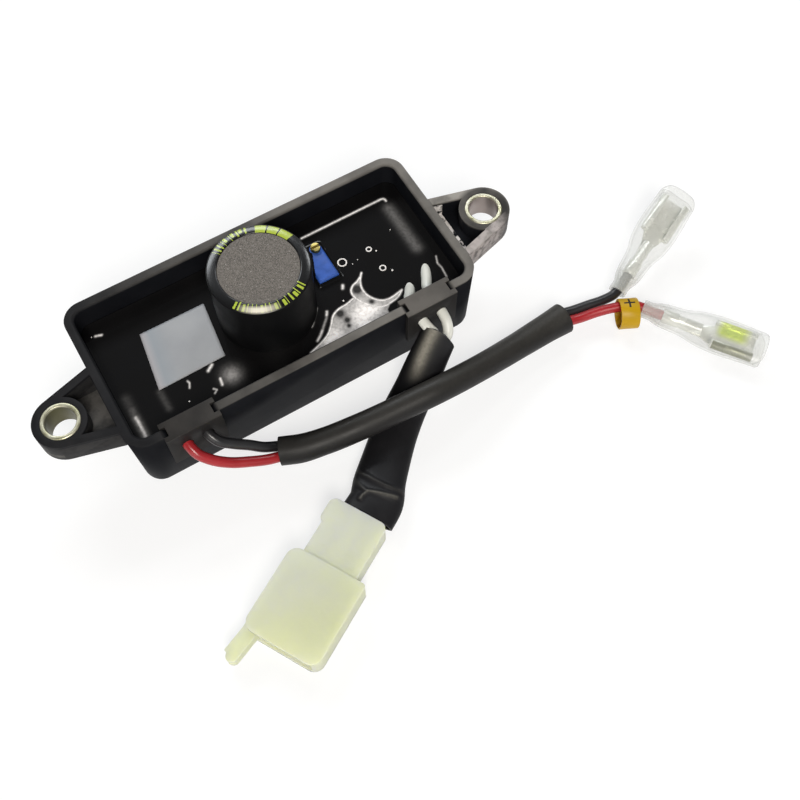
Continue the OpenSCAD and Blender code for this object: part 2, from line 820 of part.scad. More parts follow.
module brush_sleeve() {
    color([0.2, 0.19, 0.18])
        hollow(brush_route, brush_r, brush_r, brush_wall);
}

module white_lead(i, s) {
    stop = conn_p + s * contact_pitch / 2 * conn_n + barrel_in * conn_u;
    color([0.92, 0.92, 0.87])
        cord(concat(white_start[i], beside(sense_route, s * sense_pitch / 2), [stop]), lead_r);
}

module white_lead_1() { white_lead(0, 1); }
module white_lead_2() { white_lead(1, -1); }

module sense_sleeve() {
    color([0.2, 0.19, 0.18]) hollow(beside(sense_route, sense_shift), sense_rx, sense_ry, sense_wall);
}

// Connector: wire end, mouth block and latch arm in one moulding, headed along its own X

module at_connector() {
    translate([conn_x, conn_y, 0]) rotate(conn_turn) children();
}

module connector() {
    end = rear_l + mouth_l;
    edge = mouth_w / 2;
    tip_r = (latch_w - latch_hook) / 2;
    tip_x = end + latch_l - tip_r;
    color([0.86, 0.87, 0.76]) at_connector() difference() {
        union() {
            translate([0, 0, conn_z - rear_h / 2]) linear_extrude(rear_h) {
                translate([rear_l / 2 + rear_r / 2, 0]) rounded(rear_l + rear_r, rear_w, rear_r);
                translate([rib_l / 2, -rib_t / 2]) rounded(rib_l, rear_w + rib_t, rear_r);
            }
            translate([rear_l, 0, 0]) linear_extrude(mouth_h) {
                translate([mouth_l / 2, 0]) rounded(mouth_l, mouth_w, mouth_r);
                translate([mouth_r, edge - mouth_r]) rounded(2 * mouth_r, 2 * mouth_r, back_r);
            }
            translate([0, 0, conn_z - latch_h / 2]) linear_extrude(latch_h) {
                polygon([
                    [end - latch_root, -edge], [end, -edge],
                    [end + latch_l - latch_slope, -edge - latch_hook], [tip_x, -edge],
                    [tip_x, 2 * tip_r - edge], [end, latch_w - edge], [end - latch_root, latch_w - edge]
                ]);
                translate([tip_x, tip_r - edge]) circle(tip_r);
            }
        }
        difference() {
            translate([end - mouth_deep, mouth_wall - edge, mouth_wall])
                cube([mouth_deep + latch_l, mouth_w - 2 * mouth_wall, mouth_h - 2 * mouth_wall]);
            translate([end - latch_root, -edge, conn_z - latch_h / 2])
                cube([latch_root + latch_l, latch_w, latch_h]);
        }
        for (s = [-1, 1])
            translate([-eps, s * contact_pitch / 2, conn_z]) rotate([0, 90, 0])
                cylinder(d = bore_d, h = end - mouth_deep + 2 * eps);
    }
}

// Contact: a crimped barrel behind and a flat blade in the mouth
module contact(s) {
    reach = rear_l + mouth_l - blade_back - barrel_in - barrel_l;
    color([0.8, 0.78, 0.7]) at_connector() translate([0, s * contact_pitch / 2, conn_z]) {
        translate([barrel_in, 0, 0]) rotate([0, 90, 0]) cylinder(d = barrel_d, h = barrel_l);
        translate([barrel_in + barrel_l - eps, 0, -blade_t / 2]) linear_extrude(blade_t) polygon([
            [0, -blade_w / 2], [reach - blade_tip_l, -blade_w / 2],
            [reach, blade_tip_w - blade_w / 2], [reach, blade_w / 2 - blade_tip_w],
            [reach - blade_tip_l, blade_w / 2], [0, blade_w / 2]
        ]);
    }
}

module contact_1() { contact(1); }
module contact_2() { contact(-1); }

// Spade terminal along its own X: insulation grip, wire crimp, neck and rolled receptacle

module receptacle_profile() {
    r = spade_h / 2;
    c = spade_w / 2 - r;
    open = 2 * c - roll_in;
    difference() {
        union() {
            translate([-c, 0]) square([2 * c, sheet_t]);
            for (s = [-1, 1]) translate([s * c, r]) circle(r, $fn = 32);
        }
        for (s = [-1, 1]) translate([s * c, r]) circle(r - sheet_t, $fn = 32);
        translate([-open / 2, sheet_t]) square([open, spade_h]);
        translate([-c, sheet_t]) square([2 * c, r - sheet_t]);
    }
}

module spade() {
    axis_z = spade_h / 2;
    grip_d = lead_d + 2 * grip_gap + 2 * sheet_t;
    translate([0, 0, -axis_z]) {
        translate([0, 0, axis_z]) rotate([0, 90, 0]) difference() {
            cylinder(d = grip_d, h = grip_l);
            translate([0, 0, -eps]) cylinder(d = lead_d + 2 * grip_gap, h = grip_l + 2 * eps);
        }
        translate([grip_l - eps, 0, axis_z]) rotate([0, 90, 0]) cylinder(d = grip_d, h = sheet_t + eps);
        translate([grip_l, 0, axis_z]) rotate([0, 90, 0]) cylinder(d = crimp_d, h = crimp_l);
        linear_extrude(sheet_t) polygon([
            [grip_l, -strip_w / 2], [grip_l + crimp_l, -neck_w / 2],
            [grip_l + crimp_l + neck_l, spade_h / 2 - spade_w / 2],
            [grip_l + crimp_l + neck_l, spade_w / 2 - spade_h / 2],
            [grip_l + crimp_l, neck_w / 2], [grip_l, strip_w / 2]
        ]);
        translate([grip_l + crimp_l + neck_l - eps, 0, 0]) rotate([90, 0, 90])
            linear_extrude(spade_l) receptacle_profile();
    }
}

module at_red_boot() {
    translate(red_boot_p) rotate([0, 0, red_boot_turn]) children();
}

module at_black_boot() {
    translate(black_boot_p) rotate([0, -black_boot_lift, black_boot_turn]) rotate([black_boot_roll, 0, 0])
        children();
}

module red_spade() {
    color([0.8, 0.8, 0.76]) at_red_boot() translate([boot_in, 0, 0]) spade();
}

module black_spade() {
    color([0.8, 0.8, 0.76]) at_black_boot() translate([boot_in, 0, 0]) spade();
}

// Clear boot: round neck, taper and flat mouth
module boot() {
    grip_r = lead_r + grip_gap + sheet_t + boot_gap + boot_wall;
    neck_r = boot_neck_d / 2;
    flat_x = spade_w / 2 + boot_gap + boot_wall + boot_room_x;
    flat_y = spade_h / 2 + boot_gap + boot_wall + boot_room_y;
    wide_x = grip_r + boot_spread;
    mid_x = (wide_x + flat_x) / 2 + boot_swell;
    mid_y = (grip_r + flat_y) / 2;
    flat_start = boot_neck_l + boot_taper_l;
    x = [
        0, boot_end_l, boot_in - terminal_room, boot_neck_l, (boot_neck_l + flat_start) / 2, flat_start,
        boot_l - boot_lip_l, boot_l
    ];
    rx = [neck_r, neck_r, grip_r + boot_spread / 3, wide_x, mid_x, flat_x, flat_x, flat_x - boot_lip];
    ry = [neck_r, neck_r, grip_r, grip_r, mid_y, flat_y, flat_y, flat_y - boot_lip];
    hollow([for (v = x) [v, 0, 0]], rx, ry, boot_wall, 16);
}

module red_boot() {
    color([0.86, 0.88, 0.86, 0.5]) at_red_boot() boot();
}

module black_boot() {
    color([0.86, 0.88, 0.86, 0.5]) at_black_boot() boot();
}

module marker() {
    color([0.9, 0.66, 0.1]) translate(marker_p) rotate([0, 90, marker_turn]) difference() {
        cylinder(d = marker_d, h = marker_l, center = true);
        cylinder(d = marker_d - 2 * marker_wall, h = marker_l + 1, center = true);
    }
}

tray();
bush_left();
bush_right();
gate_left();
gate_right();
resin();
board();
can();
can_skin();
can_bung();
trimmer_body();
trimmer_screw();
rectifier();
power_transistor();
film_capacitor();
small_transistor();
resistor_left();
resistor_right();
diode_far();
diode_near();
label();
red_lead();
black_lead();
brush_sleeve();
white_lead_1();
white_lead_2();
sense_sleeve();
connector();
contact_1();
contact_2();
red_spade();
black_spade();
red_boot();
black_boot();
marker();
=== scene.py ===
import math

import bmesh
import bpy
import numpy as np
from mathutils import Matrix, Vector


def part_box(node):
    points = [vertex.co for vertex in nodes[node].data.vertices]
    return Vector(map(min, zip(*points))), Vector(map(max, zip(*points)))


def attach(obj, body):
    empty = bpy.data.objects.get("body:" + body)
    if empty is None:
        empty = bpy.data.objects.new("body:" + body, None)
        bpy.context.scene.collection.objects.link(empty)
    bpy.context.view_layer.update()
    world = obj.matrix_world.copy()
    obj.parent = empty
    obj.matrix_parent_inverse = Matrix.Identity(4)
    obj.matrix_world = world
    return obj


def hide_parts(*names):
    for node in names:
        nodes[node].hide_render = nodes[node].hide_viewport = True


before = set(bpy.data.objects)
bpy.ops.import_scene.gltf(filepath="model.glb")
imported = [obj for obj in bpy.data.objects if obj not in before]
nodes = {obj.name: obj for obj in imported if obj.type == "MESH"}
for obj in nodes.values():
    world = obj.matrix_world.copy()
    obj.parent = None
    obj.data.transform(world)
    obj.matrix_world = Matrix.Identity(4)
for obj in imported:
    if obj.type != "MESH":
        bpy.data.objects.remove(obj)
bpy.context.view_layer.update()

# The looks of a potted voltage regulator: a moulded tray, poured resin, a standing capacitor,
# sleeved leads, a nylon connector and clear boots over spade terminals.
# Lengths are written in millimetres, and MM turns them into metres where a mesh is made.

MM = 0.001
BODY = "regulator"
ADJUSTER = "adjuster"
scene = bpy.context.scene

# Camera

EYE = (-35.89, -112.42, 210.76)
AIM = (15.527, -26.31, 0.0)
LENS = 47.12
SENSOR = 36.0
CLIP_START = 0.01


def make_camera():
    """The camera at the viewing point, aimed at a point on the floor, with no roll."""
    data = bpy.data.cameras.new("view")
    data.lens = LENS
    data.sensor_width = SENSOR
    data.clip_start = CLIP_START
    camera = bpy.data.objects.new("view", data)
    eye = Vector(EYE) * MM
    camera.location = eye
    camera.rotation_euler = (Vector(AIM) * MM - eye).to_track_quat("-Z", "Y").to_euler()
    scene.collection.objects.link(camera)
    scene.camera = camera


make_camera()

# Sizes taken from the solids


def mm_box(node):
    """Lowest and highest corner of a solid, in millimetres."""
    low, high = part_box(node)
    return np.array(low) / MM, np.array(high) / MM


RESIN_LOW, RESIN_HIGH = mm_box("resin")
TRIM_LOW, TRIM_HIGH = mm_box("trimmer_body")
SCREW_LOW, SCREW_HIGH = mm_box("trimmer_screw")
SKIN_LOW, SKIN_HIGH = mm_box("can_skin")
CAN_C = (SKIN_LOW[:2] + SKIN_HIGH[:2]) / 2
CAN_R = (SKIN_HIGH[0] - SKIN_LOW[0]) / 2
SCREW_C = (SCREW_LOW[:2] + SCREW_HIGH[:2]) / 2
MARKER_LOW, MARKER_HIGH = mm_box("marker")

# Shader helpers


def put(node, key, value):
    """Sets one input of a node, or links it where the value is another node's output."""
    socket = node.inputs[key]
    if isinstance(value, bpy.types.NodeSocket):
        node.id_data.links.new(value, socket)
    else:
        socket.default_value = value


def add(tree, kind, inputs=None, **properties):
    """A new node of a kind, with its properties and inputs set."""
    node = tree.nodes.new(kind)
    for key, value in properties.items():
        setattr(node, key, value)
    for key, value in (inputs or {}).items():
        put(node, key, value)
    return node


def calc(tree, operation, a, b=0.0, clamp=False):
    """The result of one sum, product, comparison or the like."""
    node = add(tree, "ShaderNodeMath", {0: a, 1: b}, operation=operation)
    node.use_clamp = clamp
    return node.outputs[0]


def times(tree, *values):
    """The product of several values."""
    result = values[0]
    for value in values[1:]:
        result = calc(tree, "MULTIPLY", result, value)
    return result


def vector(tree, operation, a, b=(0, 0, 0)):
    """The results of one sum, product, length or the like of vectors."""
    return add(tree, "ShaderNodeVectorMath", {0: a, 1: b}, operation=operation).outputs


def xyz(tree, point):
    """The three parts of a point."""
    return add(tree, "ShaderNodeSeparateXYZ", {0: point}).outputs


def rgba(color):
    """A plain colour with its alpha, or a node's output as it is."""
    return color if isinstance(color, bpy.types.NodeSocket) else (*color, 1)


def tint(tree, factor, a, b):
    """Colour a where the factor is 0, and b where it is 1."""
    return add(tree, "ShaderNodeMix", {0: factor, 6: rgba(a), 7: rgba(b)}, data_type="RGBA").outputs[2]


def remap(tree, value, low, high, to_low, to_high):
    """The value moved from one range to another and held inside it."""
    limits = {"Value": value, "From Min": low, "From Max": high, "To Min": to_low, "To Max": to_high}
    return add(tree, "ShaderNodeMapRange", limits).outputs["Result"]


def between(tree, value, low, high):
    """1 where the value lies between two limits."""
    return times(tree, calc(tree, "GREATER_THAN", value, low), calc(tree, "LESS_THAN", value, high))


NOISE_LOW, NOISE_HIGH = 0.3, 0.7


def spread(tree, noise, low=0.0, high=1.0):
    """The usual range of a noise, moved to another range."""
    return remap(tree, noise, NOISE_LOW, NOISE_HIGH, low, high)


def painted(tree, key):
    """The number painted at each point of the mesh."""
    return add(tree, "ShaderNodeAttribute", attribute_name=key).outputs["Fac"]


def place(tree):
    """The point on the surface, in metres in the part's frame."""
    return add(tree, "ShaderNodeTexCoord").outputs["Object"]


def finish(name, **values):
    """A material with one shader; plain values go straight onto the shader's own sockets."""
    material = bpy.data.materials.new(name)
    material.use_nodes = True
    shader = material.node_tree.nodes["Principled BSDF"]
    for key, value in values.items():
        shader.inputs[key.replace("_", " ")].default_value = value
    return material, material.node_tree, shader


def grain_group():
    """Two noises over the surface: a fine one for texture and a broad one for drift."""
    group = bpy.data.node_groups.new("grain", "ShaderNodeTree")
    group.interface.new_socket("Vector", in_out="INPUT", socket_type="NodeSocketVector")
    for key in ("Fine", "Broad"):
        group.interface.new_socket(f"{key} Scale", in_out="INPUT", socket_type="NodeSocketFloat")
        group.interface.new_socket(key, in_out="OUTPUT", socket_type="NodeSocketFloat")
    given = group.nodes.new("NodeGroupInput").outputs
    result = group.nodes.new("NodeGroupOutput")
    for key, detail in (("Fine", 3.0), ("Broad", 4.0)):
        noise = add(group, "ShaderNodeTexNoise", {
            "Vector": given["Vector"], "Scale": given[f"{key} Scale"], "Detail": detail})
        put(result, key, noise.outputs["Fac"])
    return group


GRAIN = grain_group()


def grain(tree, fine, broad):
    """The grain group in a material, with its two scales per metre."""
    scales = {"Vector": place(tree), "Fine Scale": fine, "Broad Scale": broad}
    made = add(tree, "ShaderNodeGroup", scales, node_tree=GRAIN).outputs
    return made["Fine"], made["Broad"]


def raise_bump(tree, shader, height, depth, strength=0.5):
    """A bump of the given depth in metres from a height that runs from 0 to 1."""
    bump = add(tree, "ShaderNodeBump", {"Strength": strength, "Distance": depth, "Height": height})
    put(shader, "Normal", bump.outputs["Normal"])


def drifting(name, dark, light, rough, fine=2500.0, broad=90.0, depth=0.00002, **values):
    """A finish whose colour and roughness drift with a broad noise over a fine grain."""
    material, tree, shader = finish(name, **values)
    fine_noise, broad_noise = grain(tree, fine, broad)
    put(shader, "Base Color", tint(tree, spread(tree, broad_noise), dark, light))
    put(shader, "Roughness", spread(tree, broad_noise, *rough))
    raise_bump(tree, shader, fine_noise, depth)
    return material


# Mesh helpers


def build(name, points, faces, smooth):
    """A mesh from points in millimetres and faces, of which the first ones given are smooth."""
    mesh = bpy.data.meshes.new(name)
    mesh.from_pydata((points.reshape(-1, 3) * MM).tolist(), [], faces)
    mesh.polygons.foreach_set("use_smooth", np.arange(len(faces)) < smooth)
    mesh.update()
    return mesh


def skin(name, rows, ends=True):
    """A skin over rows of points rows[i, j]: a quad between each four neighbours, the last column
    joined to the first, and a flat face on the first and the last row."""
    n_rows, n_cols = rows.shape[:2]
    i, j = np.meshgrid(np.arange(n_rows - 1), np.arange(n_cols), indexing="ij")
    k = (j + 1) % n_cols
    a, b = i * n_cols, (i + 1) * n_cols
    faces = np.stack([a + j, a + k, b + k, b + j], axis=-1).reshape(-1, 4).tolist()
    sides = len(faces)
    if ends:
        last = (n_rows - 1) * n_cols
        faces.append(list(range(n_cols - 1, -1, -1)))
        faces.append(list(range(last, last + n_cols)))
    return build(name, rows, faces, sides)


def paint(mesh, key, values):
    """One number at each point of a mesh, for its finish to read."""
    attribute = mesh.attributes.new(key, "FLOAT", "POINT")
    attribute.data.foreach_set("value", np.ravel(values).astype(np.float32))


def dress(mesh, name, material, replaced=(), body=BODY):
    """A piece made of a mesh, with its finish, its body and the solids that it stands for."""
    piece = bpy.data.objects.new(name, mesh)
    scene.collection.objects.link(piece)
    mesh.materials.clear()
    mesh.materials.append(material)
    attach(piece, body)
    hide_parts(*replaced)
    return piece


MERGE_GAP = 2e-6
FLAT_ANGLE, EDGE_ANGLE = math.radians(0.5), math.radians(35)


def soften(node, name, material, radius, segments=3, body=BODY):
    """A copy of a solid with its points merged, its flat faces made whole and its edges rounded."""
    mesh = nodes[node].data.copy()
    mesh.name = name
    work = bmesh.new()
    work.from_mesh(mesh)
    bmesh.ops.remove_doubles(work, verts=work.verts, dist=MERGE_GAP)
    bmesh.ops.dissolve_limit(work, angle_limit=FLAT_ANGLE, verts=work.verts, edges=work.edges)
    for face in work.faces:
        face.smooth = True
    work.to_mesh(mesh)
    work.free()
    piece = dress(mesh, name, material, [node], body)
    bevel = piece.modifiers.new("round", "BEVEL")
    bevel.width = radius * MM
    bevel.segments = segments
    bevel.limit_method = "ANGLE"
    bevel.angle_limit = EDGE_ANGLE
    bevel.use_clamp_overlap = True
    bevel.harden_normals = True
    return piece


def keep(node, material):
    """A solid whose shape is right, in its own finish."""
    mesh = nodes[node].data
    mesh.materials.clear()
    mesh.materials.append(material)


def smooth_line(points, steps=8):
    """A smooth line through the points: a cubic on each span, whose slope at a point is the mean
    of the two neighbouring slopes, each weighted by the length of the other span."""
    p = np.asarray(points, float)
    h = np.linalg.norm(np.diff(p, axis=0), axis=1)[:, None]
    d = np.diff(p, axis=0) / h
    inner = (d[:-1] * h[1:] + d[1:] * h[:-1]) / (h[:-1] + h[1:])
    m = np.vstack([d[:1], inner, d[-1:]])
    t = np.linspace(0, 1, steps, endpoint=False)[None, :, None]
    start, stop = p[:-1, None], p[1:, None]
    leave, arrive = (m[:-1] * h)[:, None], (m[1:] * h)[:, None]
    curve = (
        (2 * t**3 - 3 * t**2 + 1) * start
        + (t**3 - 2 * t**2 + t) * leave
        + (3 * t**2 - 2 * t**3) * stop
        + (t**3 - t**2) * arrive
    )
    return np.vstack([curve.reshape(-1, p.shape[1]), p[-1:]])


def along(values, steps=8):
    """Values given at a route's points, spread evenly over the steps between them."""
    at = np.arange((len(values) - 1) * steps + 1) / steps
    return np.interp(at, np.arange(len(values)), values)


def unit(v):
    """Each vector at length 1."""
    return v / np.linalg.norm(v, axis=-1, keepdims=True)


def across_and_up(line):
    """At each point of a line, the level direction across it and the direction up from it."""
    ahead = unit(np.gradient(line, axis=0))
    across = unit(np.cross([0.0, 0.0, 1.0], ahead))
    return across, np.cross(ahead, across)


def full_turn(sides):
    """Angles in equal steps round a full turn."""
    return np.linspace(0, 2 * np.pi, sides, endpoint=False)


def rings(line, rx, ry, sides):
    """Oval rings square to a line: a point at angle a lies rx cos a across and ry sin a up."""
    across, up = across_and_up(line)
    a = full_turn(sides)
    wide = np.multiply.outer(np.broadcast_to(rx, len(line)), np.cos(a))
    high = np.multiply.outer(np.broadcast_to(ry, len(line)), np.sin(a))
    return line[:, None] + wide[..., None] * across[:, None] + high[..., None] * up[:, None]


def walled(outer, inner):
    """Rows of a sleeve with a wall: out along the outside, back along the inside, and closed."""
    return np.concatenate([outer, inner[::-1], outer[:1]])


def lathe(name, profile, centre, sides=96):
    """A closed profile of radii and heights, turned round a standing axis."""
    profile = np.asarray(profile, float)
    a = full_turn(sides)
    x = centre[0] + np.multiply.outer(profile[:, 0], np.cos(a))
    y = centre[1] + np.multiply.outer(profile[:, 0], np.sin(a))
    z = np.broadcast_to(profile[:, 1:], x.shape)
    return skin(name, np.stack([x, y, z], axis=-1), ends=False)


def arc(cx, cz, r, start, stop, n=8):
    """Points of an arc in a profile, from one angle to another, in degrees."""
    a = np.radians(np.linspace(start, stop, n))
    return np.stack([cx + r * np.cos(a), cz + r * np.sin(a)], axis=-1)


def step_up(v, low, high):
    """A smooth step from 0 at low to 1 at high."""
    t = np.clip((v - low) / (high - low), 0, 1)
    return t * t * (3 - 2 * t)


def to_line(x, y, points):
    """Distance from each place to a line of straight stretches."""
    nearest = np.full(x.shape, np.inf)
    for (ax, ay), (bx, by) in zip(points[:-1], points[1:]):
        dx, dy = bx - ax, by - ay
        t = np.clip(((x - ax) * dx + (y - ay) * dy) / (dx * dx + dy * dy), 0, 1)
        nearest = np.minimum(nearest, np.hypot(x - ax - t * dx, y - ay - t * dy))
    return nearest


def swell(distance, height, width):
    """A soft bump or ridge that falls away on both sides."""
    return height * np.exp(-((distance / width) ** 2))


# Cords: routes in millimetres

LEAD_D = 2.3
LEAD_SIDES = 20
BRUSH_D = 5.8
BRUSH_WALL = 0.4
BRUSH_PITCH = 2.42
SENSE_WALL = 0.6
BRUSH_ROUTE = np.array([
    (-14, -26.7, 7.5), (-9.8, -28.6, 7.9), (-5.2, -29.8, 8.4), (2.6, -31, 9), (11, -31.8, 9.5),
    (22.2, -32.5, 9.9), (33, -31.6, 7.4), (44.5, -30.2, 4.8), (51.8, -29.5, 4), (57, -29.2, 3.8)])
BRUSH_FLARE = np.array([0.2, 0.15, 0.05, 0, 0, 0, 0.05, 0.15, 0.4, 0.7])
RED_START = [
    (-30.1, -10.6, 12.2), (-30.1, -12.7, 13.9), (-30.1, -14.5, 15.8), (-30.1, -19.7, 15.8),
    (-29.5, -21.6, 14.9), (-27.6, -23.4, 13), (-24.6, -25, 11), (-20.6, -26.4, 9.4), (-17, -27.4, 8.2)]
RED_END = [
    (60.5, -31, 3.5), (64.4, -31.8, 3.8), (68.2, -33, 4.2), (71.6, -34.4, 4.3), (73.6, -35.5, 3.8),
    (75.2, -37.5, 3.3)]
BLACK_START = [
    (-25.5, -10.6, 12.2), (-25.5, -12.7, 13.9), (-25.5, -14.5, 15.8), (-25.5, -19.7, 15.8),
    (-24.6, -21.2, 14.9), (-22.2, -22.4, 12.8), (-19.2, -23.5, 10.6), (-16.6, -24.7, 8.8)]
BLACK_END = [(60.5, -28.6, 3.5), (64.2, -29.2, 3.5), (67.6, -29.8, 3.5), (70.8, -29.9, 3.7)]

CONN_P = np.array([-5.8, -46.9, 3.7])
CONN_TURN = math.radians(209.5)
CONN_U = np.array([math.cos(CONN_TURN), math.sin(CONN_TURN), 0])
CONN_N = np.array([-math.sin(CONN_TURN), math.cos(CONN_TURN), 0])
CONTACT_PITCH = 5.2
BARREL_IN = 5
SENSE_ROUTE = np.array([
    (26.6, -23.4, 13.4), (22.9, -25, 8.4), (18.8, -27.4, 4.8), (14, -30.4, 2.9), (9.5, -34, 2.8),
    (4.6, -38.4, 2.9), (0.6, -42, 3.3), CONN_P - 4 * CONN_U, CONN_P - 0.3 * CONN_U])
SENSE_SHIFT = np.array([0, 0, 0, 0, 0, 0.1, 0.4, 0.8, 0.9])
SENSE_RX = np.array([4.1, 4.4, 4.6, 4.8, 5, 5.3, 5.6, 5.8, 5.9])
SENSE_RY = np.array([3, 2.9, 2.6, 2.4, 2.4, 2.4, 2.4, 2.4, 2.4])
SENSE_PITCH = np.array([3, 3, 3.2, 3.4, 3.6, 4, 4.6, CONTACT_PITCH, CONTACT_PITCH])
WHITE_START = [
    [(34.6, -4.4, 12.4), (33.4, -7.2, 13.9), (32, -10, 15), (30.5, -12.8, 15.8),
     (30.1, -14.6, 15.8), (30.1, -19.7, 15.8), (29.9, -21.8, 15.2), (29.1, -23.6, 13.9)],
    [(29, -7, 12.4), (28, -9.4, 13.8), (26.9, -11.4, 15), (25.7, -13.2, 15.8),
     (25.5, -14.6, 15.8), (25.5, -19.7, 15.8), (25.8, -21.2, 15.4), (26.4, -22.2, 14.2)]]

RED_BOOT_P = np.array([74.3, -36.2, 3.3])
BLACK_BOOT_P = np.array([71.6, -29.8, 3.8])
RED_BOOT_TURN = (-54, 0, 0)
BLACK_BOOT_TURN = (24.5, 12, 14)
BOOT_IN = 4.8
GRIP_L = 3.2


def turned(turn, lift, roll):
    """Columns are a boot's own directions: along it, across it and up, after roll, lift and turn."""
    t, l, r = (math.radians(v) for v in (turn, lift, roll))
    about_z = np.array([[math.cos(t), -math.sin(t), 0], [math.sin(t), math.cos(t), 0], [0, 0, 1]])
    about_y = np.array([[math.cos(l), 0, -math.sin(l)], [0, 1, 0], [math.sin(l), 0, math.cos(l)]])
    about_x = np.array([[1, 0, 0], [0, math.cos(r), -math.sin(r)], [0, math.sin(r), math.cos(r)]])
    return about_z @ about_y @ about_x


RED_BOOT_AXES = turned(*RED_BOOT_TURN)
BLACK_BOOT_AXES = turned(*BLACK_BOOT_TURN)


def beside(route, offsets):
    """The route moved sideways by the offset at each point."""
    ahead = np.vstack([route[1:2] - route[:1], route[2:] - route[:-2], route[-1:] - route[-2:-1]])
    return route + np.asarray(offsets)[:, None] * unit(np.cross([0.0, 0.0, 1.0], ahead))


def lead_points(start, middle, end):
    """A lead's whole route, from its three stretches."""
    return np.vstack([np.array(start, float), middle, np.array(end, float)])


def boot_points(p, axes, distances):
    """Places along a boot's axis."""
    return [p + d * axes[:, 0] for d in distances]


PAIR = np.full(len(BRUSH_ROUTE), BRUSH_PITCH / 2)
RED_POINTS = lead_points(
    RED_START, beside(BRUSH_ROUTE, -PAIR),
    RED_END + boot_points(RED_BOOT_P, RED_BOOT_AXES, (BOOT_IN - 1, BOOT_IN + GRIP_L)))
BLACK_POINTS = lead_points(
    BLACK_START, beside(BRUSH_ROUTE, PAIR),
    BLACK_END + boot_points(BLACK_BOOT_P, BLACK_BOOT_AXES, (2, BOOT_IN - 1, BOOT_IN + GRIP_L)))
WHITE_POINTS = [
    lead_points(WHITE_START[i], beside(SENSE_ROUTE, s * SENSE_PITCH / 2),
                [CONN_P + s * CONTACT_PITCH / 2 * CONN_N + BARREL_IN * CONN_U])
    for i, s in ((0, 1), (1, -1))]


def vinyl(name, dark, light, rough=(0.28, 0.4)):
    """Soft wire insulation: a faint drift of colour and a fine drawn texture."""
    return drifting(name, dark, light, rough, fine=1800, broad=160, depth=0.00003,
                    Coat_Weight=0.15, Coat_Roughness=0.2)


def make_lead(name, points, material, node):
    """A round lead along its route; returns the piece, the line that it follows and its length."""
    line = smooth_line(points)
    piece = dress(skin(name, rings(line, LEAD_D / 2, LEAD_D / 2, LEAD_SIDES)), name, material, [node])
    length = np.linalg.norm(np.diff(line, axis=0), axis=1).sum()
    return piece, line * MM, length * MM


RED_VINYL = vinyl("red_vinyl", (0.36, 0.015, 0.02), (0.44, 0.021, 0.028))
BLACK_VINYL = vinyl("black_vinyl", (0.012, 0.012, 0.013), (0.026, 0.026, 0.028))
WHITE_VINYL = vinyl("white_vinyl", (0.86, 0.86, 0.78), (0.93, 0.93, 0.87))
red_lead = make_lead("red_lead_wire", RED_POINTS, RED_VINYL, "red_lead")
black_lead = make_lead("black_lead_wire", BLACK_POINTS, BLACK_VINYL, "black_lead")
white_leads = [
    make_lead(f"white_lead_wire_{i + 1}", WHITE_POINTS[i], WHITE_VINYL, f"white_lead_{i + 1}")
    for i in (0, 1)]

# Sleeves

SLEEVE_STEPS = 16
BRUSH_SIDES, SENSE_SIDES = 40, 96
BRUSH_WAVE = 0.04
BRUSH_PAINTED_SHEEN_SIDE = math.radians(65)
# Strength of the highlight painted on the brush sleeve's upper far side at its start, and what it gains
# toward its end
BRUSH_PAINTED_SHEEN, BRUSH_PAINTED_SHEEN_GAIN = 0.03, 0.07


def sleeve_finish(name, dark, light):
    """Soft charcoal tube: faint streaks along its length, a satin surface and a fine grain, with a painted
    highlight along its folds and where it bends."""
    material, tree, shader = finish(name, Specular_IOR_Level=0.25)
    fine, broad = grain(tree, 1500.0, 220.0)
    # Painted highlight: a warm grey mixed into the colour where the mesh carries it
    painted_sheen = painted(tree, "painted_sheen")
    painted_sheen = times(tree, painted_sheen, spread(tree, fine, 0.75, 1.0))
    black = tint(tree, broad, dark, light)
    put(shader, "Base Color", tint(tree, painted_sheen, black, (0.4, 0.375, 0.315)))
    put(shader, "Roughness", spread(tree, broad, 0.4, 0.52))
    raise_bump(tree, shader, fine, 0.00004)
    return material


def make_brush_sleeve():
    """A round tube shrunk on its two leads: its radius swells at both ends, with slow uneven waves."""
    line = smooth_line(BRUSH_ROUTE, SLEEVE_STEPS)
    r = BRUSH_D / 2 + along(BRUSH_FLARE, SLEEVE_STEPS)
    s = np.linspace(0, 1, len(line))
    r = r + BRUSH_WAVE * np.sin(19 * s) * np.sin(7 * s + 1)
    outer = rings(line, r, r, BRUSH_SIDES)
    inner = rings(line, r - BRUSH_WALL, r - BRUSH_WALL, BRUSH_SIDES)
    # Painted highlight on the upper far side, stronger toward the right end
    toward = np.maximum(np.cos(full_turn(BRUSH_SIDES) - BRUSH_PAINTED_SHEEN_SIDE), 0)
    painted_sheen = np.multiply.outer(BRUSH_PAINTED_SHEEN + BRUSH_PAINTED_SHEEN_GAIN * s, toward)
    mesh = skin("brush_sleeve_tube", walled(outer, inner), ends=False)
    paint(mesh, "painted_sheen", walled(painted_sheen, np.zeros(painted_sheen.shape)))
    material = sleeve_finish("sleeve_vinyl", (0.0085, 0.008, 0.0083), (0.016, 0.015, 0.0145))
    return dress(mesh, "brush_sleeve_tube", material, ["brush_sleeve"])


MOUTH_REACH, MOUTH_SIDE, MOUTH_L = 3.0, math.radians(80), 6.0
CREASE_H, CREASE_W = 0.4, 0.55
# Creases: places on the sleeve's upper side, by distance from its flat end and across it, and the strength
# of the highlight painted along them
CREASES = (
    (((9.5, -5.9), (8.7, -3.6), (6.7, 1.6), (5.8, 5.3)), 0.07),
    (((8.1, -5.5), (5.2, -2.6), (5, -2.1)), 0.08),
    (((5, -2.1), (4.8, 1.5), (4.8, 4.2)), 0.3), (((5, -2.1), (3.5, -2.9), (2.3, -3)), 0.26))
PALE_W = CREASE_W / 2.4
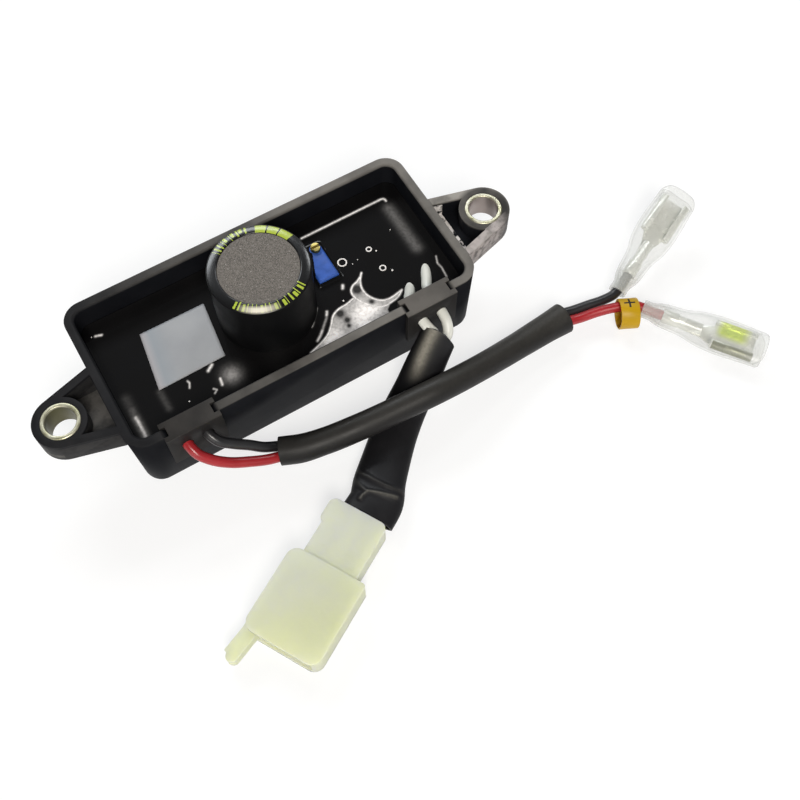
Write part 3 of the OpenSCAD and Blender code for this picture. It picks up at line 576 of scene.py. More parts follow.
# The highlight painted along the upper side near the gate: strength, place across, width, and where it
# fades
PAINTED_SHEEN, PAINTED_SHEEN_SIDE, PAINTED_SHEEN_W = 0.9, -0.7, 1.3
PAINTED_SHEEN_FROM, PAINTED_SHEEN_TO = 4.0, 13.0


def make_sense_sleeve():
    """A wider tube, pressed flat toward the connector: half width and half height follow the route,
    the upper side of its open end reaches further, and ridges stand along the creases near its
    flat end."""
    line = smooth_line(beside(SENSE_ROUTE, SENSE_SHIFT), SLEEVE_STEPS)
    rx = along(SENSE_RX, SLEEVE_STEPS)
    ry = along(SENSE_RY, SLEEVE_STEPS)
    a = full_turn(SENSE_SIDES)
    gone = np.concatenate([[0], np.cumsum(np.linalg.norm(np.diff(line, axis=0), axis=1))])
    reach = np.multiply.outer(1 - step_up(gone, 0, MOUTH_L), np.maximum(np.cos(a - MOUTH_SIDE), 0))
    back = -MOUTH_REACH * reach[..., None] * unit(np.gradient(line, axis=0))[:, None]
    left = np.broadcast_to((gone[-1] - gone)[:, None], reach.shape)
    wide = np.multiply.outer(rx, np.cos(a))
    ridge = np.zeros(reach.shape)
    # Painted highlight: a band along the upper side near the gate, and a line along each crease
    painted_sheen = swell(wide - PAINTED_SHEEN_SIDE, PAINTED_SHEEN, PAINTED_SHEEN_W) * (1 - step_up(gone, PAINTED_SHEEN_FROM, PAINTED_SHEEN_TO))[:, None]
    for crease, pale in CREASES:
        away = to_line(left, wide, crease)
        ridge = np.maximum(ridge, swell(away, CREASE_H, CREASE_W))
        painted_sheen = np.maximum(painted_sheen, swell(away, pale, PALE_W))
    above = np.maximum(np.sin(a), 0) ** 0.5
    ridge, painted_sheen = ridge * above, painted_sheen * above
    up = across_and_up(line)[1]
    outer = rings(line, rx, ry, SENSE_SIDES) + back + ridge[..., None] * up[:, None]
    inner = rings(line, rx - SENSE_WALL, ry - SENSE_WALL, SENSE_SIDES) + back
    mesh = skin("sense_sleeve_tube", walled(outer, inner), ends=False)
    paint(mesh, "painted_sheen", walled(painted_sheen, np.zeros(painted_sheen.shape)))
    material = sleeve_finish("flat_sleeve_vinyl", (0.007, 0.007, 0.0083), (0.015, 0.0145, 0.0162))
    return dress(mesh, "sense_sleeve_tube", material, ["sense_sleeve"])


brush_sleeve = make_brush_sleeve()
sense_sleeve = make_sense_sleeve()

# Tray, gates and bushes

# The highlight painted on the uppermost faces: the heights where it comes in, and where it grows from left
# to right
TOP_LIGHT_FROM, TOP_LIGHT_TO = 20.3, 20.9
TOP_LIGHT_LEFT, TOP_LIGHT_RIGHT = -36, 12
EAR_X = 41
BUSH_LOW, BUSH_HIGH = mm_box("bush_right")
EAR_C = (BUSH_LOW + BUSH_HIGH) / 2
RING_FROM, RING_TO = 5.2, 6.4
# The floor of the left ear's pocket, and the patchy pale paint that lifts the shade below that ear's top
# and on that floor
FLOOR_LOW, FLOOR_HIGH, FLOOR_HALF_Y = 16, 17.2, 5.2
SHADE_LIFT = (0.06, 0.2)
# Scraps in the right ear's pocket
FLASH_FROM, FLASH_TO = 40.6, 43.2
FLASH_LOW, FLASH_HIGH = 16, 20.2
POCKET_HALF = 6.7
FLASH_PALE = (0.8, 0.76, 0.73)
# The right ear's near arm: a place on its outer face, that face's direction and the arm's width
ARM_AT, ARM_TURN, ARM_W = (40.5, EAR_C[1] - 8.5), math.radians(14.7), 1.9
ARM_FADE_FROM, ARM_FADE_TO = 50, 54
ARM_GREY = (0.47, 0.425, 0.41)


def moulded_finish(name, dark, light, painted_pale, rough):
    """Black moulding: satin with a fine grain; pale paint lifts the shade in the left ear; a painted warm
    grey highlight lies on its uppermost faces, stronger to the right and in patches on the right ear, with
    a lighter grey along that ear's near arm and pale scraps in its pocket."""
    material, tree, shader = finish(name, Specular_IOR_Level=0.08)
    fine, broad = grain(tree, 3500.0, 140.0)
    ragged = add(tree, "ShaderNodeTexNoise", {"Vector": place(tree), "Scale": 700.0, "Detail": 4.0})
    ragged = ragged.outputs["Fac"]
    parts = xyz(tree, place(tree))

    def band(axis, low, high):
        """1 between two places along an axis."""
        return between(tree, parts[axis], low * MM, high * MM)

    def row(half):
        """1 within a distance of the line through both ears."""
        return band("Y", EAR_C[1] - half, EAR_C[1] + half)

    # Painted light: pale paint lifts the shade below the left ear's top, most on its pocket floor
    below = times(tree, calc(tree, "LESS_THAN", parts["X"], -EAR_X * MM),
                  calc(tree, "LESS_THAN", parts["Z"], TOP_LIGHT_FROM * MM))
    deep = times(tree, band("Z", FLOOR_LOW, FLOOR_HIGH), row(FLOOR_HALF_Y))
    lifted_shade = times(tree, below, remap(tree, deep, 0.0, 1.0, *SHADE_LIFT), remap(tree, ragged, 0.36, 0.6, 0.6, 1.0))
    black = tint(tree, lifted_shade, tint(tree, spread(tree, broad), dark, light), painted_pale)

    # Painted highlight on the uppermost faces: stronger to the right, mottled, in patches on the right ear,
    # held back round its bush
    top = remap(tree, parts["Z"], TOP_LIGHT_FROM * MM, TOP_LIGHT_TO * MM, 0.0, 1.0)
    right = remap(tree, parts["X"], TOP_LIGHT_LEFT * MM, TOP_LIGHT_RIGHT * MM, 0.06, 1.0)
    ear = calc(tree, "GREATER_THAN", parts["X"], EAR_X * MM)
    patches = times(tree, ear, remap(tree, broad, 0.38, 0.58, 0.0, 0.8))
    mottle = remap(tree, broad, 0.3, 0.65, 0.55, 1.0)
    moved = vector(tree, "SUBTRACT", place(tree), (EAR_C[0] * MM, EAR_C[1] * MM, 0))[0]
    from_bush = vector(tree, "LENGTH", vector(tree, "MULTIPLY", moved, (1, 1, 0))[0])["Value"]
    ring = remap(tree, from_bush, RING_FROM * MM, RING_TO * MM, 0.3, 1.0)
    top_light = times(tree, top, right, calc(tree, "ADD", mottle, patches), ring, 0.5)

    inward = (-math.sin(ARM_TURN), math.cos(ARM_TURN))
    inset = vector(tree, "DOT_PRODUCT", place(tree), (*inward, 0))["Value"]
    inset = calc(tree, "SUBTRACT", inset, float(np.dot(inward, ARM_AT)) * MM)
    arm = times(tree, ear, calc(tree, "LESS_THAN", inset, ARM_W * MM),
                remap(tree, parts["X"], ARM_FADE_FROM * MM, ARM_FADE_TO * MM, 1.0, 0.0),
                remap(tree, ragged, 0.36, 0.6, 0.35, 1.0))
    flash = times(tree, band("X", FLASH_FROM, FLASH_TO), band("Z", FLASH_LOW, FLASH_HIGH),
                  row(POCKET_HALF), remap(tree, ragged, 0.4, 0.52, 0.0, 1.0))
    armed = tint(tree, arm, tint(tree, top_light, black, painted_pale), ARM_GREY)
    put(shader, "Base Color", tint(tree, flash, armed, FLASH_PALE))
    put(shader, "Roughness", spread(tree, broad, *rough))
    raise_bump(tree, shader, fine, 0.00003)
    return material


TRAY = moulded_finish("black_moulding", (0.005, 0.0055, 0.0075), (0.009, 0.0095, 0.012), (0.4, 0.375, 0.34),
                      (0.46, 0.56))
GATE = moulded_finish("gate_moulding", (0.012, 0.0115, 0.012), (0.024, 0.022, 0.021), (0.25, 0.232, 0.212),
                      (0.5, 0.6))
soften("tray", "tray_moulding", TRAY, 0.35)
soften("gate_left", "gate_left_moulding", GATE, 0.2)
soften("gate_right", "gate_right_moulding", GATE, 0.2)

BUSH_LIP = 0.3
BUSH_SIDES = 64
LIP_FROM, LIP_TO = 20.6, 21.1
HALFWAY = 10
BUSH_R, BUSH_BORE = 4.1, 3.2


def bush_finish():
    """Plated steel: a yellow-green cast on the lip, greyer down the bore."""
    material, tree, shader = finish("yellow_zinc", Metallic=0.8)
    fine, broad = grain(tree, 4000.0, 420.0)
    parts = xyz(tree, place(tree))
    high = remap(tree, parts["Z"], LIP_FROM * MM, LIP_TO * MM, 0.0, 1.0)
    lip = tint(tree, spread(tree, broad), (0.48, 0.46, 0.28), (0.74, 0.71, 0.58))
    right = remap(tree, parts["X"], -HALFWAY * MM, HALFWAY * MM, 0.0, 1.0)
    bore = tint(tree, right, (0.08, 0.074, 0.027), (0.34, 0.29, 0.27))
    put(shader, "Base Color", tint(tree, high, bore, lip))
    put(shader, "Roughness", spread(tree, broad, 0.3, 0.45))
    raise_bump(tree, shader, fine, 0.00001)
    return material


BUSH = bush_finish()


def make_bush(node):
    """A turned ring: straight outside and bore, with round lips at both ends."""
    low, high = mm_box(node)
    foot, head = low[2], high[2]
    profile = np.vstack([
        arc(BUSH_R - BUSH_LIP, head - BUSH_LIP, BUSH_LIP, 0, 90),
        arc(BUSH_BORE + BUSH_LIP, head - BUSH_LIP, BUSH_LIP, 90, 180),
        arc(BUSH_BORE + BUSH_LIP, foot + BUSH_LIP, BUSH_LIP, 180, 270),
        arc(BUSH_R - BUSH_LIP, foot + BUSH_LIP, BUSH_LIP, 270, 360),
        [(BUSH_R, head - BUSH_LIP)]])
    name = f"{node}_turned"
    return dress(lathe(name, profile, (low[:2] + high[:2]) / 2, BUSH_SIDES), name, BUSH, [node])


make_bush("bush_left")
make_bush("bush_right")

# Resin

GRID_X = 420
GRID_Y = 184
CORNER_R = 2.5
WALL_CLIMB, WALL_FADE = 0.12, 0.5
CAN_CLIMB, CAN_FADE = 0.08, 0.6
CAN_SIDE = math.radians(-40)
FILM = 0.1
FILM_EDGE = ((10.5, 0.4), (13.6, 8.2))
FILM_END = 8.0
BARE_CLIMB = 1.3
FILM_FADE = 0.25
DULL_FADE = 0.8
SCREW_CLEAR = 1.35
UNDER_TRIMMER = 12.0
RING_BUBBLES = ((25.0, 3.1, 0.55), (18.2, 3.1, 0.95), (25.2, -2.7, 0.65))
RING_T, RING_H = 0.16, 0.09
RING_SIDES, SECTION_SIDES = 32, 12
GLINT_SPECKS = (
    (26.2, 1.9, 0.2), (26.7, -4.3, 0.24), (20, 1.6, 0.14), (21.5, 2, 0.13), (13.6, -5.6, 0.2),
    (-25.7, -10.3, 0.18), (31.7, 5.1, 0.12), (-37, 14.1, 0.16))
# Painted highlights and reflections on the resin, as pale lines: places, strength and half width
RIM_REFLECTION = (((13.5, 13.3), (34.1, 13.4), (34.6, 13.3), (34.9, 12.9), (34.9, 12.4)), 1.0, 0.22)
LEFT_STREAK = (((-36.8, -8), (-36.7, -10), (-36.8, -12.7)), 0.55, 0.36)
LEFT_GLOW = (
    (((-36.8, -3), (-36.8, -6)), 0.03, 1.0), (((-36.8, -6), (-36.8, -8.5)), 0.07, 0.8),
    (((-36.8, -8), (-36.8, -12.7)), 0.14, 0.75), (((-30, -5.2), (-30, -9.6)), 0.04, 0.7))
CAN_GLINTS = (
    (((9.2, -6.1), (8.7, -6.9)), 0.8, 0.24), (((9.2, -6.1), (8.3, -7.5), (6.1, -9.7)), 0.3, 0.24),
    (((6.1, -9.7), (5.1, -10.6), (4, -11.4)), 0.6, 0.24), (((7.6, -4.3), (7.1, -4.9)), 0.7, 0.22),
    (((7.1, -4.9), (6.6, -5.5), (4.6, -7.6)), 0.25, 0.24), (((5.3, -6.9), (4.6, -7.6)), 0.6, 0.26),
    (((15.4, -2.1), (15, -2.8)), 0.8, 0.28))
STRAY_GLINTS = (
    (((36.9, -6.1), (36.2, -7.8), (36.4, -9.2), (36.1, -11.8)), 0.5, 0.16),
    (((-24, -5.8), (-23.8, -6.4), (-24.3, -7.5)), 0.7, 0.16), (((-36.2, 13.9), (-34.9, 13.5)), 0.9, 0.22),
    (((-17.9, -5), (-19.2, -5.9)), 0.8, 0.28), (((-17.8, -8.8), (-18.1, -10.3)), 0.8, 0.26),
    (((-20.1, -10.2), (-19.6, -10.8), (-20.3, -11.3)), 0.6, 0.16), (((-10, 2.7), (-10.3, 1.7)), 0.3, 0.16))
LINES = (RIM_REFLECTION, LEFT_STREAK, *LEFT_GLOW, *CAN_GLINTS, *STRAY_GLINTS)
# Painted soft highlights: place, strength and spread
SOFT_HIGHLIGHT = (-15.4, -9.2, 0.26, 1.8)
WALL_GLOW_LINE, WALL_GLOW, WALL_GLOW_W = ((34.4, 10.4), (34.4, 3.7), (34.4, -2)), 0.1, 1.2
# A painted reflection beside the near wall: a pale patch with bright edges round a clear bay
REFLECTION_PATCH = (
    (20.5, -1.4), (19.4, -2.8), (18.6, -4.9), (18.7, -6.8), (19.6, -8.6), (20.7, -9.7), (22.2, -10.2),
    (23.9, -10.1), (25.9, -9.7), (24.5, -10.7), (22.2, -11.4), (20.9, -12.4), (20, -16), (-1.5, -15.9),
    (1.4, -13.2), (4.8, -12.1), (6.6, -11.2), (8.4, -9.5), (10, -7.6), (11.6, -6.9), (13.7, -6.7),
    (15.1, -6.5), (15.8, -5.9), (16.3, -4.2), (17.1, -3.4), (18.7, -2.7))
REFLECTION_EDGES = (
    REFLECTION_PATCH[:9],
    ((19.7, -2.2), (18.7, -2.8), (17.1, -3.4), (16.3, -4.2), (16.1, -5.9), (16.7, -7.5), (17.8, -9.2),
     (20.1, -11.2), (22.3, -11.2), (24.5, -10.7), (25.9, -9.7)),
    ((15.7, -6.2), *REFLECTION_PATCH[20:13:-1]))
REFLECTION_TONE, REFLECTION_LEAST, REFLECTION_GAIN, REFLECTION_LOSS = 0.42, 0.03, 0.5, 0.6
REFLECTION_SOFT, REFLECTION_EDGE_W = 0.3, 0.19
REFLECTION_LIGHT = ((16, -9.9, 2.0), (18.3, -10.9, 1.4), (8.2, -12.1, 1.6), (14.6, -12.6, 2.2), (6, -12.8, 1.4))
REFLECTION_DARK = ((12, -10.2, 0.75), (11.6, -11.6, 0.5), (17.6, -4.6, 1.2), (11.4, -8, 1.0), (18.7, -9, 0.8))


def climb(distance, height, fade):
    """Resin drawn up a wall: the height dies away with distance from the wall."""
    return height * np.exp(-np.maximum(distance, 0) / fade)


def resin_grid():
    """Points of the resin's top, in rows across the tray, drawn in at the four round corners."""
    middle = (RESIN_LOW + RESIN_HIGH) / 2
    half = (RESIN_HIGH - RESIN_LOW) / 2
    y = np.linspace(-half[1], half[1], GRID_Y)
    past = np.maximum(np.abs(y) - (half[1] - CORNER_R), 0)
    reach = half[0] - CORNER_R + np.sqrt(CORNER_R**2 - past**2)
    x = np.multiply.outer(reach, np.linspace(-1, 1, GRID_X))
    y = np.broadcast_to(y[:, None], x.shape)
    return middle[0] + x, middle[1] + y, half[0] - np.abs(x), half[1] - np.abs(y)


def climbs(x, y, to_end, to_side):
    """Resin drawn up the walls, and up the capacitor, most on its right."""
    rise = climb(np.minimum(to_end, to_side), WALL_CLIMB, WALL_FADE)
    dx, dy = x - CAN_C[0], y - CAN_C[1]
    toward = (1 + np.cos(np.arctan2(dy, dx) - CAN_SIDE)) / 2
    return rise + climb(np.hypot(dx, dy) - CAN_R, CAN_CLIMB, CAN_FADE) * toward**2


def off_trimmer(x, y):
    """Distance from each place to the trimmer's outline, 0 over the trimmer itself."""
    out_x = np.maximum(np.maximum(TRIM_LOW[0] - x, x - TRIM_HIGH[0]), 0)
    out_y = np.maximum(np.maximum(TRIM_LOW[1] - y, y - TRIM_HIGH[1]), 0)
    return np.hypot(out_x, out_y)


def resin_top(x, y, to_end, to_side):
    """Height of the resin: a level pour with its climbs, and a film over part of the trimmer."""
    z = RESIN_HIGH[2] + climbs(x, y, to_end, to_side)
    (x0, y0), (x1, y1) = FILM_EDGE
    covered = (x < x0 + (y - y0) * (x1 - x0) / (y1 - y0)) | (y > FILM_END)
    away = off_trimmer(x, y)
    rise = np.where(covered, TRIM_HIGH[2] + FILM - RESIN_HIGH[2], BARE_CLIMB)
    z += climb(away, 1.0, FILM_FADE) * rise
    on_top = away == 0
    near_screw = np.hypot(x - SCREW_C[0], y - SCREW_C[1]) < SCREW_CLEAR
    z = np.where(on_top & covered & ~near_screw, TRIM_HIGH[2] + FILM, z)
    return np.where(on_top & (~covered | near_screw), UNDER_TRIMMER, z)


def inside(x, y, outline):
    """True in a closed outline: an odd number of its sides lies to the right of the place."""
    odd = np.zeros(x.shape, bool)
    for (ax, ay), (bx, by) in zip(outline, outline[1:] + outline[:1]):
        odd ^= ((ay > y) != (by > y)) & (x < ax + (y - ay) * (bx - ax) / (by - ay))
    return odd


def reflection_patch(x, y):
    """A painted reflection: even inside its outline, lighter and darker in a few round places, with bright
    lines along its edges."""
    tone = np.full(x.shape, REFLECTION_TONE)
    for bx, by, r in REFLECTION_LIGHT:
        tone += swell(np.hypot(x - bx, y - by), REFLECTION_GAIN, r)
    for bx, by, r in REFLECTION_DARK:
        tone -= swell(np.hypot(x - bx, y - by), REFLECTION_LOSS, r)
    to_edge = to_line(x, y, REFLECTION_PATCH + REFLECTION_PATCH[:1])
    cover = np.where(inside(x, y, REFLECTION_PATCH), step_up(to_edge, 0, REFLECTION_SOFT), 0)
    fill = np.clip(tone, REFLECTION_LEAST, 1.0) * cover
    for edge in REFLECTION_EDGES:
        fill = np.maximum(fill, swell(to_line(x, y, smooth_line(edge, 4)), 1.0, REFLECTION_EDGE_W))
    return fill


def painted_light_marks(x, y):
    """Painted reflections and highlights on the resin: a pale patch, lines and soft glows."""
    painted_light = reflection_patch(x, y)
    for places, strength, width in LINES:
        painted_light = np.maximum(painted_light, swell(to_line(x, y, places), strength, width))
    bx, by, strength, spread = SOFT_HIGHLIGHT
    painted_light = np.maximum(painted_light, swell(np.hypot(x - bx, y - by), strength, spread))
    return np.maximum(painted_light, swell(to_line(x, y, WALL_GLOW_LINE), WALL_GLOW, WALL_GLOW_W))


PAINTED_LIGHT_COLOR = (0.95, 0.91, 0.88)


def resin_finish():
    """Poured black resin under a mirror gloss, paler and faintly glowing where reflections and highlights
    are painted on, and dull where it clings to the trimmer."""
    material, tree, shader = finish(
        "poured_resin", Specular_IOR_Level=0.05, Coat_Roughness=0.03, Coat_IOR=1.4, Emission_Strength=0.38)
    fine, broad = grain(tree, 1500.0, 120.0)
    painted_light = painted(tree, "painted_light")
    dull = painted(tree, "dull")
    uneven = times(tree, painted_light, remap(tree, fine, 0.35, 0.6, 0.7, 1.0))
    dark = tint(tree, broad, (0.003, 0.003, 0.0035), (0.007, 0.0065, 0.0065))
    # Painted reflections and highlights: pale in the colour and glowing faintly
    put(shader, "Base Color", tint(tree, uneven, dark, PAINTED_LIGHT_COLOR))
    put(shader, "Emission Color", tint(tree, uneven, (0, 0, 0), PAINTED_LIGHT_COLOR))
    put(shader, "Roughness", spread(tree, broad, 0.5, 0.7))
    put(shader, "Coat Weight", calc(tree, "SUBTRACT", 1.0, dull, clamp=True))
    raise_bump(tree, shader, broad, 0.00003, 0.2)
    return material


def make_resin():
    """The poured block: its top from the grid, its sides and its underside plain."""
    x, y, to_end, to_side = resin_grid()
    z = resin_top(x, y, to_end, to_side)
    top = np.stack([x, y, z], axis=-1)
    foot = top[:, [-1, 0]].copy()
    foot[..., 2] = RESIN_LOW[2]
    mesh = skin("resin_pour", np.concatenate([top, foot], axis=1))
    dull = np.exp(-off_trimmer(x, y) / DULL_FADE)
    for key, marks in (("painted_light", painted_light_marks(x, y)), ("dull", dull)):
        paint(mesh, key, np.concatenate([marks, np.zeros((GRID_Y, 2))], axis=1))
    return dress(mesh, "resin_pour", resin_finish(), ["resin"])


def make_bubbles():
    """Burst bubbles and specks, pale as painted highlights: each a ring whose section is a flat oval, so
    that a point at angle a round the ring and b round its section lies at the ring's radius plus the half
    width times cos b."""
    spots = np.array([(x, y, r, RING_T) for x, y, r in RING_BUBBLES]
                     + [(x, y, 0.5 * r, 0.5 * r) for x, y, r in GLINT_SPECKS])
    a, b = np.meshgrid(full_turn(RING_SIDES), full_turn(SECTION_SIDES), indexing="ij")
    cx, cy, ring, thick = (column[:, None, None] for column in spots.T)
    r = ring + thick * np.cos(b)
    z = np.broadcast_to(RESIN_HIGH[2] + RING_H * np.sin(b), r.shape)
    points = np.stack([cx + r * np.cos(a), cy + r * np.sin(a), z], axis=-1)
    n, na, nb = r.shape
    k, i, j = np.meshgrid(np.arange(n), np.arange(na), np.arange(nb), indexing="ij")
    i2, j2 = (i + 1) % na, (j + 1) % nb
    faces = np.stack([(k * na + p) * nb + q for p, q in ((i, j), (i2, j), (i2, j2), (i, j2))], axis=-1)
    mesh = build("resin_bubbles", points, faces.reshape(-1, 4).tolist(), faces[..., 0].size)
    material = drifting("pale_glint_rings", (0.86, 0.83, 0.8), PAINTED_LIGHT_COLOR, (0.3, 0.45), fine=2500, broad=900)
    return dress(mesh, "resin_bubbles", material)


make_resin()
make_bubbles()

# Capacitor

DISC_R = 8.45
SHOULDER = 0.4
CROWN = 10.35
CROWN_DROP = 0.4
SKIN_T = 0.25
FILM_SIDES = 128
BLOCKS = ((67, 53.5), (51.5, 38), (36, 20))
TICK_ARCS = ((77, 128), (-148, -52))
TICK_PITCH, TICK_START, TICK_STOPS = 5.5, 0.15, (0.3, 0.95)
TICK_INNER = (8.2, 9.4)
# The painted highlight on the crown: its strength, its angle, where it starts to fade and ends, and its
# four radii
CRESCENT, CRESCENT_AT, CRESCENT_FULL, CRESCENT_HALF = 0.95, -117.0, 6.0, 27.0
CRESCENT_IN, CRESCENT_OUT = (8.9, 9.6), (10.2, 10.7)


def angle_and_radius(tree):
    """Angle in degrees and radius in millimetres round the capacitor's axis."""
    parts = xyz(tree, vector(tree, "SUBTRACT", place(tree), (CAN_C[0] * MM, CAN_C[1] * MM, 0))[0])
    angle = times(tree, calc(tree, "ARCTAN2", parts["Y"], parts["X"]), math.degrees(1))
    square = calc(tree, "ADD", calc(tree, "POWER", parts["X"], 2.0), calc(tree, "POWER", parts["Y"], 2.0))
    return angle, times(tree, calc(tree, "SQRT", square), 1 / MM)


def skin_finish():
    """Shrunk black film with a printed band: three solid blocks, runs of plain uneven ticks, and one
    painted highlight on the crown."""
    material, tree, shader = finish("shrunk_film", Specular_IOR_Level=0.08, Coat_Roughness=0.2)
    angle, radius = angle_and_radius(tree)
    mark = 0.0
    for high, low in BLOCKS:
        mark = calc(tree, "MAXIMUM", between(tree, angle, low, high), mark)
    steps = calc(tree, "DIVIDE", angle, TICK_PITCH)
    cell, part = calc(tree, "FLOOR", steps), calc(tree, "FRACT", steps)
    chance = add(tree, "ShaderNodeTexWhiteNoise", {"W": cell}, noise_dimensions="1D").outputs["Value"]
    tick = times(tree, between(tree, part, TICK_START, remap(tree, chance, 0.0, 1.0, *TICK_STOPS)),
                 calc(tree, "GREATER_THAN", radius, remap(tree, chance, 0.0, 1.0, *TICK_INNER)))
    for low, high in TICK_ARCS:
        mark = calc(tree, "MAXIMUM", times(tree, tick, between(tree, angle, low, high)), mark)
    fine, broad = grain(tree, 2200.0, 260.0)
    mark = times(tree, mark, between(tree, radius, DISC_R + 0.1, CAN_R - 0.3),
                 remap(tree, broad, 0.25, 0.45, 0.6, 1.0))
    black = tint(tree, broad, (0.003, 0.003, 0.0035), (0.007, 0.007, 0.0075))
    aside = calc(tree, "ABSOLUTE", calc(tree, "SUBTRACT", angle, CRESCENT_AT))
    crown_highlight = times(tree, remap(tree, aside, CRESCENT_FULL, CRESCENT_HALF, 1.0, 0.0),
                remap(tree, radius, *CRESCENT_IN, 0.0, 1.0),
                remap(tree, radius, *CRESCENT_OUT, 1.0, 0.0), CRESCENT)
    printed = tint(tree, mark, black, (0.44, 0.54, 0.06))
    put(shader, "Base Color", tint(tree, crown_highlight, printed, (0.92, 0.86, 0.72)))
    put(shader, "Roughness", spread(tree, broad, 0.42, 0.52))
    put(shader, "Coat Weight", remap(tree, radius, CAN_R - 0.25, CAN_R - 0.05, 1.0, 0.0))
    raise_bump(tree, shader, fine, 0.00001)
    return material


def can_finish():
    """Dull can end: warm grey with pale and dark specks."""
    material, tree, shader = finish("speckled_aluminium", Metallic=0.35, Specular_IOR_Level=0.4)
    fine, broad = grain(tree, 6500.0, 3000.0)
    drift = remap(tree, fine, 0.35, 0.65, 0.0, 1.0)
    base = tint(tree, drift, (0.07, 0.063, 0.055), (0.235, 0.21, 0.185))
    speck = calc(tree, "GREATER_THAN", broad, 0.66)
    put(shader, "Base Color", tint(tree, speck, base, (0.42, 0.39, 0.37)))
    put(shader, "Roughness", spread(tree, broad, 0.5, 0.7))
    raise_bump(tree, shader, fine, 0.00004)
    return material


def make_can_skin():
    """The film's section: a thin wall up the can, a round shoulder, a crown that slopes up to the
    disc, and a lip on it."""
    top, low = SKIN_HIGH[2], SKIN_LOW[2]
    outside = arc(0, 0, 1, 0, 80, 12) * (CAN_R - CROWN, SHOULDER) + (CROWN, top - CROWN_DROP - SHOULDER)
    lip = [(DISC_R + 0.4, top - 0.03), (DISC_R + 0.15, top - 0.09), (DISC_R, top - SKIN_T + 0.01)]
    inner = CAN_R - SKIN_T
    under = [(inner - 1.2, top - SKIN_T - 0.1), (inner, top - 2 * SHOULDER - CROWN_DROP), (inner, low)]
    profile = np.vstack([[(CAN_R, low)], outside, lip, under, [(CAN_R, low)]])
    mesh = lathe("can_film", profile, CAN_C, FILM_SIDES)
    return dress(mesh, "can_film", skin_finish(), ["can_skin"])


make_can_skin()
keep("can", can_finish())

# Trimmer

soften("trimmer_body", "trimmer_case", drifting(
    "blue_moulding", (0.025, 0.085, 0.36), (0.045, 0.13, 0.52), (0.4, 0.55), fine=2600, broad=700,
    depth=0.00006, Specular_IOR_Level=0.3), 0.12)
soften("trimmer_screw", "trimmer_screw_turned", drifting(
    "turned_brass", (0.3, 0.24, 0.07), (0.5, 0.42, 0.15), (0.32, 0.5), fine=5000, broad=900,
    depth=0.00002, Metallic=1.0), 0.08, body=ADJUSTER)

# Label

LABEL_CORNERS = np.array([(-30, -4.8), (-14.5, -4.5), (-12.8, 9.3), (-27.9, 9.4)])
LABEL_T = 0.15
LABEL_N = 24
LABEL_RIPPLE, LABEL_SINK = 0.03, 0.02


def label_finish():
    """Bare grey label: a painted highlight as a paler band along its left edge, with a cooler band beside
    it, over a faint drift.
    """
    material, tree, shader = finish("bare_label", Specular_IOR_Level=0.3)
    fine, broad = grain(tree, 1600.0, 120.0)
    across = painted(tree, "across")
    grey = tint(tree, spread(tree, broad), (0.33, 0.34, 0.36), (0.39, 0.4, 0.415))
    cool = tint(tree, remap(tree, across, 0.1, 0.35, 0.8, 0.0), grey, (0.29, 0.325, 0.36))
    # Painted highlight: a paler band along the left edge
    edge = remap(tree, across, 0.04, 0.14, 0.8, 0.0)
    put(shader, "Base Color", tint(tree, edge, cool, (0.43, 0.41, 0.425)))
    put(shader, "Roughness", spread(tree, broad, 0.38, 0.5))
    raise_bump(tree, shader, fine, 0.00002)
    return material


def make_label():
    """A thin sheet between four corners: each place is their weighted mean, with a slight ripple, and
    its edges drop to the resin."""
    v, u = np.meshgrid(np.linspace(0, 1, LABEL_N), np.linspace(0, 1, LABEL_N), indexing="ij")
    a, b, c, d = LABEL_CORNERS
    weights = ((1 - u) * (1 - v), u * (1 - v), u * v, (1 - u) * v)
    flat = sum(w[..., None] * corner for w, corner in zip(weights, (a, b, c, d)))
    ripple = LABEL_RIPPLE * np.sin(5 * u + 1) * np.sin(4 * v) * np.sin(np.pi * u) * np.sin(np.pi * v)
    sheet = np.concatenate([flat, (RESIN_HIGH[2] + LABEL_T + ripple)[..., None]], axis=-1)
    foot = sheet[:, [-1, 0]].copy()
    foot[..., 2] = RESIN_HIGH[2] - LABEL_SINK
    mesh = skin("label_film", np.concatenate([sheet, foot], axis=1))
    paint(mesh, "across", np.concatenate([u, np.broadcast_to([1.0, 0.0], (LABEL_N, 2))], axis=1))
    return dress(mesh, "label_film", label_finish(), ["label"])


make_label()

# Connector and contacts

GREEN_TO, IVORY_FROM = -62, -48


def nylon_finish():
    """Natural nylon: ivory with a green cast, light carried a little way under the surface."""
    material, tree, shader = finish(
        "natural_nylon", Subsurface_Weight=0.85, Subsurface_Scale=0.005, Specular_IOR_Level=0.35,
        Subsurface_Radius=(1.0, 1.0, 0.6))
    fine, broad = grain(tree, 1400.0, 110.0)
    parts = xyz(tree, place(tree))
    rear = remap(tree, parts["Y"], GREEN_TO * MM, IVORY_FROM * MM, 0.0, 1.0)
    green = tint(tree, broad, (0.66, 0.7, 0.42), (0.74, 0.76, 0.54))
    put(shader, "Base Color", tint(tree, rear, green, (0.72, 0.75, 0.6)))
    put(shader, "Roughness", spread(tree, broad, 0.3, 0.42))
    raise_bump(tree, shader, fine, 0.00003)
    return material


connector = soften("connector", "connector_moulding", nylon_finish(), 0.45, 4)
TIN = drifting("tin_plate", (0.78, 0.79, 0.73), (0.93, 0.93, 0.88), (0.18, 0.32), fine=3000, broad=400,
               depth=0.00002, Metallic=0.3)
keep("contact_1", TIN)
keep("contact_2", TIN)

# Boots, terminals and marker ring

